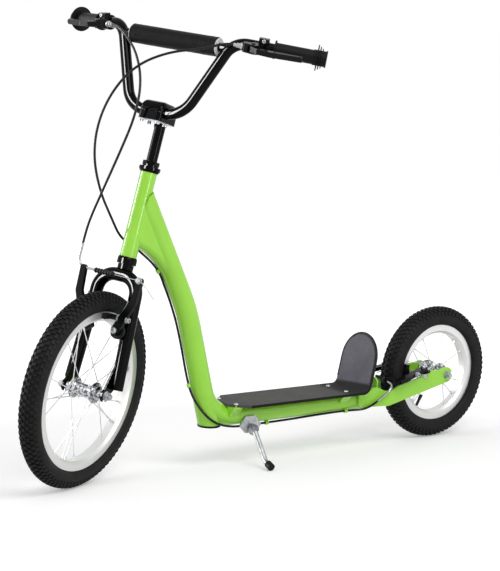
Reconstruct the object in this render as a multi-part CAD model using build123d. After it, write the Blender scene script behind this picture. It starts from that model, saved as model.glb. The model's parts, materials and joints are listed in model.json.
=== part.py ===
"""Kick scooter with a 16 inch front wheel, a 12 inch rear wheel, two V-brakes and a kickstand.

Upright frame: +X is forward, +Y is left, +Z is up, and the origin is on the ground under the rear axle.
Steered frame: x is forward, z runs up the steering axis, and the origin is the foot of the wheel
centre's perpendicular on that axis. The part is made in its parked pose, which leans on the kickstand
with the bar turned to the left. PARKED, STRAIGHT and STEERED are the placements of the upright frame, of
the head tube's frame and of the steered frame.
"""
import os
from math import atan2, cos, degrees, pi, radians, sin, sqrt, tan

from build123d import *

os.makedirs("parts", exist_ok=True)

# ---------------------------------------------------------------- driving dimensions, mm and degrees
WHEELBASE = 949.5
HEAD_ANGLE = 76.0  # steering axis from the ground
FORK_OFFSET = 36.7  # wheel centre in front of the steering axis
STEER_TURN = 25.0  # bar turned left as it is parked
LEAN = 4.5  # parked lean to the left

FRONT_TYRE_R = 197.0
FRONT_TYRE_HALF = 24.0
FRONT_BEAD_R = 152.5
REAR_TYRE_R = 152.0
REAR_TYRE_HALF = 27.0
REAR_BEAD_R = 103.5
TYRE_WALL = 3.5

HEAD_LOW = 272.0  # head tube ends, up the steering axis
HEAD_HIGH = 443.0
HEAD_TUBE_R = 17.0
HEAD_TUBE_WALL = 1.8
STEERER_R = 12.7
STEERER_TOP = 466.0
QUILL_R = 11.0
RUNNING_GAP = 0.05  # radial clearance of bearings and slides

MAIN_TUBE_R = 22.5
MAIN_TUBE_WALL = 2.0
DECK_UNDER = 130.0  # underside of the deck
DECK_THICK = 6.0
DECK_HALF = 55.7
DECK_SETBACK = 34.5  # the deck's front edge, behind the foot of the big tube
DECK_REAR = 256.0  # where the deck turns up into the guard
GUARD_TOP = 256.0
GUARD_LEAN = 12.0

BLADE_R = 13.2
BLADE_X = 12.0  # the blades' plane in front of the steering axis
CROWN_Y = 43.5  # where a blade's line meets the crown's
FOOT_Y = 54.0  # where a blade ends
CROWN_Z = 234.0
AXLE_R = 5.0
AXLE_END_R = 4.8
FRONT_OLD = 88.0  # over the hub's locknuts
REAR_OLD = 84.0
STAY_HEIGHT = 35.0
STAY_THICK = 5.0
STAY_SLOPE = 12.0

BAR_R = 11.1
BAR_WALL = 2.0
CLAMP_X = 30.0
CLAMP_Z = 560.0
GRIP_END = (-53.0, 291.0, 730.0)
CROSSBAR_Z = 707.0
CROSSBAR_X = 22.0
PAD_R = 19.5
PAD_HALF = 100.0
GRIP_LENGTH = 100.0
CABLE_R = 2.5

# ---------------------------------------------------------------- frames and placement
TILT = 90.0 - HEAD_ANGLE
AXIS_UP = Vector(-sin(radians(TILT)), 0, cos(radians(TILT)))
AXIS_FORWARD = Vector(cos(radians(TILT)), 0, sin(radians(TILT)))
AXIS_FOOT = Vector(WHEELBASE, 0, FRONT_TYRE_R) - AXIS_FORWARD * FORK_OFFSET


def ring_reach(radius, half, axle_tilt):
    """How far a tyre of this outer radius reaches along a direction that its axle leans into."""
    return (radius - half) * sqrt(1 - axle_tilt**2) + half


TURNED_AXLE_X = -sin(radians(STEER_TURN)) * cos(radians(TILT))
TURNED_CENTRE_X = AXIS_FOOT.X + FORK_OFFSET * cos(radians(STEER_TURN)) * AXIS_FORWARD.X
FRONT_REACH = TURNED_CENTRE_X + ring_reach(FRONT_TYRE_R, FRONT_TYRE_HALF, TURNED_AXLE_X)
REAR_REACH = -REAR_TYRE_R
GROUND_Z = REAR_TYRE_R * cos(radians(LEAN)) - ring_reach(REAR_TYRE_R, REAR_TYRE_HALF, sin(radians(LEAN)))


def grip_side(side):
    """Y of a grip's end in the parked pose, side is 1 for the left one."""
    turn = radians(STEER_TURN)
    x = GRIP_END[0] * cos(turn) - side * GRIP_END[1] * sin(turn)
    y = GRIP_END[0] * sin(turn) + side * GRIP_END[1] * cos(turn)
    z = AXIS_FOOT.Z + AXIS_UP.Z * GRIP_END[2] + AXIS_FORWARD.Z * x
    return y * cos(radians(LEAN)) + z * sin(radians(LEAN))


ORIGIN = Location(
    (-(FRONT_REACH + REAR_REACH) / 2, -(grip_side(1) + grip_side(-1)) / 2, -GROUND_Z)
)
PARKED = ORIGIN * Location((0, 0, 0), (-LEAN, 0, 0))
STRAIGHT = PARKED * Location(AXIS_FOOT) * Location((0, 0, 0), (0, -TILT, 0))
STEERED = STRAIGHT * Location((0, 0, 0), (0, 0, STEER_TURN))

NODES = {}


def node(name, shape, place):
    """Keeps one sub-part, moved from its own frame into the parked pose."""
    NODES[name] = place * shape


# ---------------------------------------------------------------- small helpers
def rod(start, end, radius, bore=0.0):
    """A round bar, or a tube if it has a bore, from one point to another."""
    start, end = Vector(*start), Vector(*end)
    plane = Plane(origin=start, z_dir=end - start)
    section = Circle(radius) - Circle(bore) if bore else Circle(radius)
    return extrude(plane * section, (end - start).length)


def tube_path(path, radius, bore=0.0):
    """A tube along a path of runs and tangent arcs."""
    plane = Plane(origin=path @ 0, z_dir=path % 0)
    outer = sweep(plane * Circle(radius), path=path)
    return outer - sweep(plane * Circle(bore), path=path) if bore else outer


def turned(points, axis=Axis.Z):
    """A solid of revolution from a closed outline in the XZ plane."""
    return revolve(Plane.XZ * make_face(Polyline(*points, close=True)), axis)


def plate_xz(points, y_low, y_high):
    """A plate with an outline in XZ between two values of Y."""
    face = Plane.XZ * make_face(Polyline(*points, close=True))
    return extrude(face, amount=y_high - y_low).moved(Location((0, y_high, 0)))


def mirrored(shape):
    """The same piece on the other side of the middle plane."""
    return shape.mirror(Plane.XZ)


def group(*shapes):
    """Separate solids in one node."""
    return Compound(children=[solid for shape in shapes for solid in shape.solids()])


def on_axle(shape, centre):
    """Turns a wheel piece, made round Z, so that its axle lies along Y at this centre."""
    return Location(centre) * Location((0, 0, 0), (-90, 0, 0)) * shape


def hexagon(across, height, z=0.0, bore=0.0):
    """A hexagonal nut round Z."""
    section = RegularPolygon(across / 2, 6, major_radius=False)
    section = section - Circle(bore) if bore else section
    return extrude(Location((0, 0, z)) * section, height)


# ---------------------------------------------------------------- wheels, made round Z
RIM_FLANGE = 7.0  # rim wall above the bead seat
RIM_HALF = 14.0
RIM_WALL = 1.6
RIM_BED = 12.0  # spoke bed below the bead seat
TRACK_DEPTH = 6.5
SPOKE_R = 1.0
NIPPLE_R = 1.9
NIPPLE_LENGTH = 9.0
FLANGE_THICK = 3.0
VALVE_R = 4.0
VALVE_LENGTH = 30.0
TUBE_SHARE = 0.36  # an inner tube's radius, as a share of the room between bead and tread


def tyre(bead, outer, half):
    """A tyre's casing with its tread band, open at the beads."""
    middle = outer - half
    bead_y = RIM_HALF - RIM_WALL - 0.3
    rim_top = bead + RIM_FLANGE + 0.6

    def wall(inset, foot):
        reach = half - inset
        knee = ((rim_top + middle) / 2 - 1.5 + inset / 2, reach * 0.88)
        mid = middle + reach * sin(pi / 4)
        return (
            (bead + 0.2, foot),
            (rim_top, foot),
            knee,
            (middle, reach),
            (mid, reach * cos(pi / 4)),
            (outer - inset, 0.0),
        )

    out, inner = wall(0.0, bead_y), wall(TYRE_WALL, bead_y - TYRE_WALL)
    flip = lambda p: (p[0], -p[1])
    edges = [
        Line(out[0], out[1]),
        ThreePointArc(out[1], out[2], out[3]),
        ThreePointArc(out[3], out[5], flip(out[3])),
        ThreePointArc(flip(out[3]), flip(out[2]), flip(out[1])),
        Line(flip(out[1]), flip(out[0])),
        Line(flip(out[0]), flip(inner[0])),
        Line(flip(inner[0]), flip(inner[1])),
        ThreePointArc(flip(inner[1]), flip(inner[2]), flip(inner[3])),
        ThreePointArc(flip(inner[3]), inner[5], inner[3]),
        ThreePointArc(inner[3], inner[2], inner[1]),
        Line(inner[1], inner[0]),
        Line(inner[0], out[0]),
    ]
    return revolve(Plane.XZ * make_face(edges), Axis.Z)


def rim(bead):
    """A double-wall rim: bead seats, braking faces and the spoke bed."""
    top, track, bed = bead + RIM_FLANGE, bead - TRACK_DEPTH, bead - RIM_BED
    half, wall, narrow = RIM_HALF, RIM_WALL, RIM_HALF - 5.0
    outline = [
        (top, half), (track, half), (bed, narrow), (bed, -narrow), (track, -half), (top, -half),
        (top, wall - half), (bead, wall - half), (bead, 6 - half), (bead - 2, 7.5 - half),
        (bead - 2, half - 7.5), (bead, half - 6), (bead, half - wall), (top, half - wall),
    ]
    cavity = [
        (bead - 3.6, half - 3), (track + 0.6, half - wall), (bed + wall, narrow - 0.8),
        (bed + wall, 0.8 - narrow), (track + 0.6, wall - half), (bead - 3.6, 3 - half),
    ]
    return turned(outline) - turned(cavity)


def valve_hole(bead, radius):
    """The drill for the valve, along +X through the rim."""
    return rod((bead - RIM_BED - 3, 0, 0), (bead + 2, 0, 0), radius)


def inner_tube(bead, outer, half):
    """The air tube inside the tyre, with its valve pointing to the hub."""
    radius = (outer - TYRE_WALL - bead) * TUBE_SHARE
    centre = outer - TYRE_WALL - radius - 1.5
    ring = revolve(Plane.XZ * Location((centre, 0, 0)) * Circle(radius), Axis.Z)
    tip = bead - RIM_BED - VALVE_LENGTH
    stem = rod((tip, 0, 0), (centre - radius / 2, 0, 0), VALVE_R - 0.7)
    cap = rod((tip, 0, 0), (tip + 11, 0, 0), VALVE_R)
    return ring + stem + cap


def spokes(count, crosses, bead, flange_r, flange_y):
    """Laced spokes with their nipples: each flange holds half of them, in two crossing layers."""
    made = []
    step = 720 / count
    for index in range(count // 2):
        for side in (1, -1):
            lean = 1 if index % 2 else -1
            layer = 0.0 if lean > 0 else 2.6
            inner = flange_y - FLANGE_THICK / 2 - SPOKE_R - 0.05 - layer
            hub_angle = radians(index * step + (step / 2 if side < 0 else 0))
            rim_angle = hub_angle + lean * radians(crosses * step - step / 4)
            start = Vector(flange_r * cos(hub_angle), flange_r * sin(hub_angle), side * inner)
            bed = bead - RIM_BED - 0.1
            finish = Vector(bed * cos(rim_angle), bed * sin(rim_angle), side * (4.0 - layer / 2))
            along = (finish - start).normalized()
            level = Vector(cos(rim_angle), sin(rim_angle), 0)
            finish = finish - level * NIPPLE_R * sqrt(1 - along.dot(level) ** 2)
            along = (finish - start).normalized()
            made.append(
                rod(start, finish, SPOKE_R) + rod(finish - along * NIPPLE_LENGTH, finish, NIPPLE_R)
            )
    return made


def hub(old, flange_r, flange_y, barrel_r):
    """A hub shell with two flanges, its bearing cones and the bore for the axle."""
    half, thick, bore = old / 2, FLANGE_THICK / 2, AXLE_R + RUNNING_GAP
    upper = [
        (bore, 0), (barrel_r, 0), (barrel_r, flange_y - 6), (barrel_r + 4, flange_y - thick),
        (flange_r, flange_y - thick), (flange_r, flange_y + thick), (barrel_r + 3, flange_y + thick),
        (barrel_r + 2, flange_y + 7), (barrel_r - 3, flange_y + 8), (9, half - 4), (8, half - 0.1),
        (bore, half - 0.1),
    ]
    lower = [(x, -z) for x, z in reversed(upper)]
    return turned(upper[1:] + lower[:-1])


# spokes: count, crossings, hole circle, flange radius, flange place, barrel radius
FRONT_WHEEL = dict(spokes=20, crosses=2, holes=17.5, flange=21.0, flange_y=24.0, barrel=12.0)
REAR_WHEEL = dict(spokes=16, crosses=1, holes=18.5, flange=22.5, flange_y=21.0, barrel=12.0)


def wheel(name, bead, outer, half, old, spec, centre, place, spin):
    """All the pieces that turn with one wheel; spin turns the valve to where it stands."""
    turn = Location((0, 0, 0), (0, 0, spin))
    fit = lambda shape: on_axle(turn * shape, centre)
    node(f"{name}_tyre", fit(tyre(bead, outer, half)), place)
    node(f"{name}_rim", fit(rim(bead) - valve_hole(bead, VALVE_R - 0.4)), place)
    node(f"{name}_inner_tube", fit(inner_tube(bead, outer, half)), place)
    laced = spokes(spec["spokes"], spec["crosses"], bead, spec["holes"], spec["flange_y"])
    node(f"{name}_spokes", group(*[fit(spoke) for spoke in laced]), place)
    node(f"{name}_hub", fit(hub(old, spec["flange"], spec["flange_y"], spec["barrel"])), place)


FRONT_CENTRE = (FORK_OFFSET, 0, 0)
REAR_CENTRE = (0, 0, REAR_TYRE_R)
wheel("front", FRONT_BEAD_R, FRONT_TYRE_R, FRONT_TYRE_HALF, FRONT_OLD, FRONT_WHEEL,
      FRONT_CENTRE, STEERED, 200.0)
wheel("rear", REAR_BEAD_R, REAR_TYRE_R, REAR_TYRE_HALF, REAR_OLD, REAR_WHEEL,
      REAR_CENTRE, PARKED, 60.0)

# ---------------------------------------------------------------- axles and nuts
NUT_ACROSS = 15.0
NUT_HEIGHT = 7.0
WASHER_R = 9.5
WASHER_THICK = 1.5
AXLE_PROUD = 5.0  # bare thread past the nuts


def axle(old, plate, centre):
    """A threaded axle through the hub and both dropouts."""
    x, _, z = centre
    face = old / 2 + plate + WASHER_THICK + NUT_HEIGHT
    body = rod((x, -face, z), (x, face, z), AXLE_R)
    return body + rod((x, -face - AXLE_PROUD, z), (x, face + AXLE_PROUD, z), AXLE_END_R)


def axle_nuts(old, plate, centre):
    """A washer and a nut on each side."""
    made = []
    for side in (1, -1):
        face = old / 2 + plate
        washer = Location((0, 0, face)) * extrude(Circle(WASHER_R) - Circle(AXLE_R), WASHER_THICK)
        nut = hexagon(NUT_ACROSS, NUT_HEIGHT, face + WASHER_THICK, AXLE_R)
        flip = Location((0, 0, 0), (180, 0, 0)) if side < 0 else Location()
        made += [on_axle(flip * washer, centre), on_axle(flip * nut, centre)]
    return group(*made)


DROPOUT_THICK = 4.0
node("front_axle", axle(FRONT_OLD, DROPOUT_THICK, FRONT_CENTRE), STEERED)
node("front_axle_nuts", axle_nuts(FRONT_OLD, DROPOUT_THICK, FRONT_CENTRE), STEERED)
node("rear_axle", axle(REAR_OLD, STAY_THICK, REAR_CENTRE), PARKED)
node("rear_axle_nuts", axle_nuts(REAR_OLD, STAY_THICK, REAR_CENTRE), PARKED)

# ---------------------------------------------------------------- fork, in the steered frame
ARCH_RADIUS = 36.0
BLADE_FOOT = 14.0
BLADE_WALL = 2.0
BLADE_PLUG = 3.0
DROPOUT_R = 13.5
BOSS_R = 9.5


def fork_line():
    """The centreline of the blades and the crown, which are bent from one round tube."""
    half = [(BLADE_X, FOOT_Y, BLADE_FOOT), (BLADE_X, CROWN_Y, CROWN_Z)]
    return FilletPolyline(*half, *[(x, -y, z) for x, y, z in reversed(half)], radius=ARCH_RADIUS)


FORK_LINE = fork_line()


def dropout():
    """The slotted plate let into the left blade's foot, from the blade forward to the axle."""
    inner, outer = FRONT_OLD / 2, FRONT_OLD / 2 + DROPOUT_THICK
    outline = [
        (BLADE_X - 9, BLADE_FOOT + 8), (BLADE_X - 9, BLADE_FOOT + 50), (BLADE_X + 8, BLADE_FOOT + 58),
        (FORK_OFFSET + 8, 9), (FORK_OFFSET - 7, -7),
    ]
    plate = plate_xz(outline, inner, outer)
    plate += rod((FORK_OFFSET, inner, 0), (FORK_OFFSET, outer, 0), DROPOUT_R)
    slot_foot = -2 * DROPOUT_R
    slot = plate_xz(
        [(FORK_OFFSET - AXLE_R, slot_foot), (FORK_OFFSET + AXLE_R, slot_foot),
         (FORK_OFFSET + AXLE_R, 0), (FORK_OFFSET - AXLE_R, 0)],
        inner - 1, outer + 1,
    )
    return plate - slot - rod((FORK_OFFSET, inner - 1, 0), (FORK_OFFSET, outer + 1, 0), AXLE_R + 0.05)


def fork_blades():
    """The bent tube with plugged feet, both dropouts and the brake bosses."""
    bent = tube_path(FORK_LINE, BLADE_R, BLADE_R - BLADE_WALL)
    foot, way = FORK_LINE @ 0, FORK_LINE % 0
    plug = rod(foot, foot + way * BLADE_PLUG, BLADE_R - BLADE_WALL / 2)
    along, out = FRONT_BRAKE["stud"]
    face = FRONT_BRAKE["mid"] - ARM_THICK / 2 - ARM_GAP
    boss = rod((BLADE_X, out, along), (face, out, along), BOSS_R) - tube_path(FORK_LINE, BLADE_R - BLADE_WALL)
    side = plug + dropout() + boss
    return bent + side + mirrored(side)


CUP_HEIGHT = 15.0
CUP_R = 19.5
TOP_CUP_R = 21.5
TOP_CUP_HEIGHT = 11.0
RACE_GAP = 0.3
RACE_R = 16.0


def steerer():
    """The steerer tube, mitred over the crown, with the lower race on it."""
    low = HEAD_LOW - CUP_HEIGHT
    body = rod((0, 0, CROWN_Z - BLADE_R / 2), (0, 0, STEERER_TOP), STEERER_R, QUILL_R + RUNNING_GAP)
    body += rod((0, 0, CROWN_Z), (0, 0, low - RACE_GAP), RACE_R, STEERER_R)
    return body - tube_path(FORK_LINE, BLADE_R + 0.02)


node("fork_steerer", steerer(), STEERED)


def headset_cups():
    """Cups pressed into both ends of the head tube."""
    inside = HEAD_TUBE_R - HEAD_TUBE_WALL
    clear = STEERER_R + 0.6
    race = 16.6
    low = [
        (clear, HEAD_LOW - 3), (race, HEAD_LOW - 3), (race, HEAD_LOW - CUP_HEIGHT),
        (CUP_R, HEAD_LOW - CUP_HEIGHT), (CUP_R, HEAD_LOW - 4), (HEAD_TUBE_R + 1, HEAD_LOW),
        (inside, HEAD_LOW), (inside, HEAD_LOW + 12), (clear, HEAD_LOW + 12),
    ]
    high = [
        (clear, HEAD_HIGH + 3), (race, HEAD_HIGH + 3), (race, HEAD_HIGH + TOP_CUP_HEIGHT),
        (TOP_CUP_R, HEAD_HIGH + TOP_CUP_HEIGHT), (TOP_CUP_R, HEAD_HIGH + 5), (HEAD_TUBE_R + 1, HEAD_HIGH),
        (inside, HEAD_HIGH), (inside, HEAD_HIGH - 12), (clear, HEAD_HIGH - 12),
    ]
    return group(turned(low), turned(high))


def headset_bearings():
    """The two caged ball rings."""
    inner, outer = STEERER_R + 0.1, 16.3
    low = HEAD_LOW - CUP_HEIGHT
    return group(
        rod((0, 0, low + 0.2), (0, 0, HEAD_LOW - 3.4), outer, inner),
        rod((0, 0, HEAD_HIGH + 3.4), (0, 0, HEAD_HIGH + TOP_CUP_HEIGHT - 0.2), outer, inner),
    )


def headset_locknut():
    """The adjusting race, the keyed washer and the hexagonal locknut on the steerer."""
    top = HEAD_HIGH + TOP_CUP_HEIGHT
    return group(
        rod((0, 0, top + RACE_GAP), (0, 0, top + 3), 16.0, STEERER_R),
        rod((0, 0, top + 3), (0, 0, top + 4.5), 17.0, STEERER_R),
        hexagon(29.0, 7.0, top + 4.5, STEERER_R),
    )


node("headset_cups", headset_cups(), STRAIGHT)
node("headset_bearings", headset_bearings(), STEERED)
node("headset_locknut", headset_locknut(), STEERED)

# ---------------------------------------------------------------- main frame, in the upright frame
TUBE_TOP_Z = 572.0
TUBE_TOP_X = AXIS_FOOT.X + AXIS_UP.X * (TUBE_TOP_Z - AXIS_FOOT.Z) / AXIS_UP.Z  # on the steering axis
TUBE_TOP = (TUBE_TOP_X, TUBE_TOP_Z)
TUBE_KNEE = (TUBE_TOP_X - 116.0, 338.5)
TUBE_FOOT_X = TUBE_TOP_X - 179.7
KNEE_RADIUS = 400.0
FOOT_RADIUS = 75.0
DECK_FRONT = TUBE_FOOT_X - DECK_SETBACK
SPINE_REAR = 205.0
SPINE_Z = DECK_UNDER - MAIN_TUBE_R
SKIRT_LOW = 92.0


def head_tube():
    return rod((0, 0, HEAD_LOW), (0, 0, HEAD_HIGH), HEAD_TUBE_R, HEAD_TUBE_R - HEAD_TUBE_WALL)


TO_UPRIGHT = Location(AXIS_FOOT) * Location((0, 0, 0), (0, -TILT, 0))


def main_line(rear):
    return FilletPolyline(
        (TUBE_TOP[0], 0, TUBE_TOP[1]),
        (TUBE_KNEE[0], 0, TUBE_KNEE[1]),
        (TUBE_FOOT_X, 0, SPINE_Z),
        (rear, 0, SPINE_Z),
        radius=[KNEE_RADIUS, FOOT_RADIUS],
    )


UPPER_SLOPE = atan2(TUBE_TOP[1] - TUBE_KNEE[1], TUBE_TOP[0] - TUBE_KNEE[0])
FLARE_HALF = 16.5
FLARE_REACH = 59.0  # how far the flare stands in front of the tube's centreline at the head tube
FLARE_LENGTH = 90.0
FLARE_START = 172.0  # where the flare leaves the tube, below the top


def tube_flare():
    """The swept flare that widens the tube towards the lower end of the head tube."""
    along = Vector(cos(UPPER_SLOPE), 0, sin(UPPER_SLOPE))
    ahead = Vector(sin(UPPER_SLOPE), 0, -cos(UPPER_SLOPE))
    top = Vector(TUBE_TOP[0], 0, TUBE_TOP[1])

    def at(back, forward):
        return top - along * back + ahead * forward

    low, high = FLARE_START, FLARE_START - FLARE_LENGTH
    edges = [
        Line(at(low, 0), at(low, MAIN_TUBE_R - 0.5)),
        ThreePointArc(
            at(low, MAIN_TUBE_R - 0.5),
            at(low - FLARE_LENGTH / 2, MAIN_TUBE_R + FLARE_REACH / 6),
            at(high, FLARE_REACH),
        ),
        Line(at(high, FLARE_REACH), at(high - 60, FLARE_REACH)),
        Line(at(high - 60, FLARE_REACH), at(high - 60, 0)),
        Line(at(high - 60, 0), at(low, 0)),
    ]
    block = extrude(make_face(edges), FLARE_HALF, both=True)
    curve = block.edges().filter_by(GeomType.CIRCLE)
    return fillet(curve, FLARE_HALF - 2.5)


def down_tube():
    """The big tube, mitred to the head tube, that bends under the deck as its spine."""
    body = tube_path(main_line(SPINE_REAR), MAIN_TUBE_R) + tube_flare()
    body -= tube_path(main_line(SPINE_REAR + 2.5), MAIN_TUBE_R - MAIN_TUBE_WALL)
    cope = TO_UPRIGHT * rod((0, 0, HEAD_LOW - 60), (0, 0, HEAD_HIGH + 60), HEAD_TUBE_R + 0.01)
    ahead = TO_UPRIGHT * Location((150, 0, (HEAD_LOW + HEAD_HIGH) / 2)) * Box(300, 200, 500)
    return body - cope - ahead


node("head_tube", head_tube(), STRAIGHT)
node("down_tube", down_tube(), PARKED)


SKIRT_WALL = 2.5
SKIRT_TOP = 148.0
TRIM_HEIGHT = 4.0
LOWER_SLOPE = atan2(TUBE_KNEE[1] - SPINE_Z, TUBE_KNEE[0] - TUBE_FOOT_X)
LOWER_RUN = Plane(
    origin=(TUBE_FOOT_X, 0, SPINE_Z),
    x_dir=(sin(LOWER_SLOPE), 0, -cos(LOWER_SLOPE)),
    z_dir=(cos(LOWER_SLOPE), 0, sin(LOWER_SLOPE)),
)


def skirt_band(inner, outer, low, high):
    """A shell round the straight continuation of the big tube, coped to the bend, between two heights."""
    body = extrude(LOWER_RUN * (Circle(outer) - Circle(inner)), 200, both=True)
    keep = Location((TUBE_FOOT_X, 0, (low + high) / 2)) * Box(300, 100, high - low)
    return (body & keep) - tube_path(main_line(SPINE_REAR), MAIN_TUBE_R + 0.02)


node("front_skirt",
     skirt_band(MAIN_TUBE_R - SKIRT_WALL, MAIN_TUBE_R, SKIRT_LOW, SKIRT_TOP), PARKED)
node("skirt_trim",
     skirt_band(MAIN_TUBE_R - SKIRT_WALL - 1, MAIN_TUBE_R + 1, SKIRT_LOW - TRIM_HEIGHT, SKIRT_LOW), PARKED)

# rear stays: along is the distance from the axle, up is square to the stay
STAY_INNER = REAR_OLD / 2
TAB_RISE = 8.0
STAY_FRONT = 246.0
STAY_FRONT_LOW = 93.0
STAY_FRONT_TOP = 126.0
JOGGLE_FRONT = 222.0  # where the stays leave the sides of the spine
JOGGLE_REAR = 172.0
STUD_ALONG = 66.0


def stay_point(along, up):
    """A point of the XZ plane from its place along and above the stay's centreline."""
    slope = radians(STAY_SLOPE)
    return (along * cos(slope) + up * sin(slope), REAR_TYRE_R - along * sin(slope) + up * cos(slope))


def rear_stay():
    """The left stay: a pressed plate that runs from the side of the spine out to the axle."""
    half = STAY_HEIGHT / 2
    side = [
        stay_point(0, half), stay_point(20, half), stay_point(STUD_ALONG - 14, half + TAB_RISE),
        stay_point(STUD_ALONG + 9, half + TAB_RISE), stay_point(STUD_ALONG + 12, half),
        stay_point(146, half), (168, 129), (184, 130), (199, 138), (206, 138),
        (JOGGLE_FRONT + 2, STAY_FRONT_TOP), (STAY_FRONT, STAY_FRONT_TOP),
        (STAY_FRONT, STAY_FRONT_LOW + 8), (STAY_FRONT - 8, STAY_FRONT_LOW),
        (JOGGLE_REAR, STAY_FRONT_LOW + 3), stay_point(0, -half),
    ]
    outline = plate_xz(side, 0, 100)
    end = rod((0, 0, REAR_TYRE_R), (0, 100, REAR_TYRE_R), half)
    inner, thick = STAY_INNER, STAY_THICK
    near = MAIN_TUBE_R + 0.05
    plan = Polyline(
        (-30, inner), (JOGGLE_REAR, inner), (JOGGLE_FRONT, near), (STAY_FRONT + 1, near),
        (STAY_FRONT + 1, near + thick), (JOGGLE_FRONT + 1.5, near + thick),
        (JOGGLE_REAR + 1.5, inner + thick), (-30, inner + thick), close=True,
    )
    sheet = extrude(make_face(plan), REAR_TYRE_R * 2)
    body = (outline + end) & sheet
    mouth = [
        (5, REAR_TYRE_R + AXLE_R),
        (-30, REAR_TYRE_R + 6),
        (-30, REAR_TYRE_R - 6),
        (5, REAR_TYRE_R - AXLE_R),
    ]
    slot = plate_xz(mouth, inner - 5, inner + thick + 5)
    axle_seat = rod((0, inner - 5, REAR_TYRE_R), (0, inner + thick + 5, REAR_TYRE_R), AXLE_R + 0.05)
    slot = slot & Location((-20, 0, REAR_TYRE_R)) * Box(40, 400, 60)
    return body - slot - axle_seat


node("left_stay", rear_stay(), PARKED)
node("right_stay", mirrored(rear_stay()), PARKED)

BRIDGE_X = 197.0
BRIDGE_THICK = 4.0
BRIDGE_LOW = 112.0
BRIDGE_HIGH = 158.0
JOGGLE_SLOPE = (STAY_INNER - MAIN_TUBE_R) / (JOGGLE_FRONT - JOGGLE_REAR)


def stay_bridge():
    """The cross plate welded between the stays, with its upper corners cut off."""
    half = STAY_INNER - (BRIDGE_X + BRIDGE_THICK / 2 - JOGGLE_REAR) * JOGGLE_SLOPE - 0.1
    middle = (BRIDGE_LOW + BRIDGE_HIGH) / 2
    body = Location((BRIDGE_X, 0, middle)) * Box(BRIDGE_THICK, 2 * half, BRIDGE_HIGH - BRIDGE_LOW)
    corners = body.edges().filter_by(Axis.X).group_by(Axis.Z)[-1]
    return chamfer(corners, 8)


def deck_brackets():
    """Two pressed saddles on the spine that carry the deck's screws."""
    made = []
    tube = tube_path(main_line(SPINE_REAR), MAIN_TUBE_R + 0.1)
    for x in (FRONT_SCREW_X, REAR_SCREW_X):
        half = BRACKET_HALF
        low = DECK_UNDER - 20
        outline = Polyline(
            (-half, DECK_UNDER), (half, DECK_UNDER), (half, DECK_UNDER - 3), (24, low),
            (-24, low), (-half, DECK_UNDER - 3), close=True,
        )
        block = extrude(Plane.YZ * make_face(outline), 24).moved(Location((x - 12, 0, 0)))
        holes = [rod((x, y, low - 5), (x, y, DECK_UNDER + 5), SCREW_R) for y in SCREW_YS[x]]
        made.append(block - tube - holes)
    return group(*made)


FRONT_SCREW_X = DECK_FRONT - 16.0
REAR_SCREW_X = DECK_REAR + 31.0
SCREW_YS = {FRONT_SCREW_X: (31.0, -31.0), REAR_SCREW_X: (31.0, -31.0)}
SCREW_R = 2.5
SCREW_HEAD_R = 5.0
SCREW_HEAD = 3.0
SCREW_LENGTH = 18.0
BRACKET_HALF = 38.0
node("deck_brackets", deck_brackets(), PARKED)

# ---------------------------------------------------------------- deck with its guard
GUARD_INNER_R = 14.0
DECK_CHAMFER = 38.0
NOTCH_DEPTH = 22.0
DECK_TOP = DECK_UNDER + DECK_THICK


def deck_board():
    """One plate: chamfered nose, notch round the big tube, and the tail bent up as a round guard."""
    lean, half_turn = radians(GUARD_LEAN), radians((90 - GUARD_LEAN) / 2)
    corner = DECK_REAR - GUARD_INNER_R * tan(half_turn)
    rise = GUARD_TOP - DECK_TOP
    top = (corner - rise * tan(lean), GUARD_TOP)
    back = (top[0] - DECK_THICK * cos(lean), top[1] - DECK_THICK * sin(lean))
    inner = FilletPolyline((DECK_FRONT, DECK_TOP), (corner, DECK_TOP), top, radius=GUARD_INNER_R)
    outer = FilletPolyline(
        (DECK_FRONT, DECK_UNDER), (corner - DECK_THICK * tan(half_turn), DECK_UNDER), back,
        radius=GUARD_INNER_R + DECK_THICK,
    )
    ends = [Line((DECK_FRONT, DECK_UNDER), (DECK_FRONT, DECK_TOP)), Line(top, back)]
    side = make_face(inner.edges() + outer.edges() + ends)
    board = extrude(Plane.XZ * side, DECK_HALF, both=True)
    nose = DECK_FRONT - DECK_CHAMFER
    plan = Polyline(
        (0, DECK_HALF), (nose, DECK_HALF), (DECK_FRONT, DECK_HALF - DECK_CHAMFER),
        (DECK_FRONT, DECK_CHAMFER - DECK_HALF), (nose, -DECK_HALF), (0, -DECK_HALF), close=True,
    )
    board = board & extrude(make_face(plan), 400)
    arch_z = GUARD_TOP - DECK_HALF
    arch = rod((0, 0, arch_z), (DECK_REAR, 0, arch_z), DECK_HALF)
    arch += Location((DECK_REAR / 2, 0, arch_z / 2)) * Box(DECK_REAR, 2 * DECK_HALF, arch_z)
    arch += Location((DECK_REAR + 250, 0, 150)) * Box(500, 200, 300)
    board = board & arch
    notch = tube_path(main_line(SPINE_REAR), MAIN_TUBE_R + 1.5)
    board -= notch & Location((DECK_FRONT, 0, DECK_TOP)) * Box(2 * NOTCH_DEPTH, 100, 40)
    for x, ys in SCREW_YS.items():
        for y in ys:
            board -= rod((x, y, DECK_UNDER - 1), (x, y, DECK_TOP + 1), SCREW_R)
            board -= Location((x, y, DECK_TOP - SCREW_HEAD / 2)) * Cone(
                SCREW_R, SCREW_HEAD_R, SCREW_HEAD
            )
    return board


def deck_screws():
    """Countersunk screws, flush with the deck."""
    made = []
    for x, ys in SCREW_YS.items():
        for y in ys:
            shank = rod((x, y, DECK_TOP - SCREW_LENGTH), (x, y, DECK_TOP - SCREW_HEAD), SCREW_R - 0.05)
            head = Location((x, y, DECK_TOP - SCREW_HEAD / 2)) * Cone(
                SCREW_R - 0.05, SCREW_HEAD_R - 0.05, SCREW_HEAD
            )
            made.append(shank + head)
    return group(*made)


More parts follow.
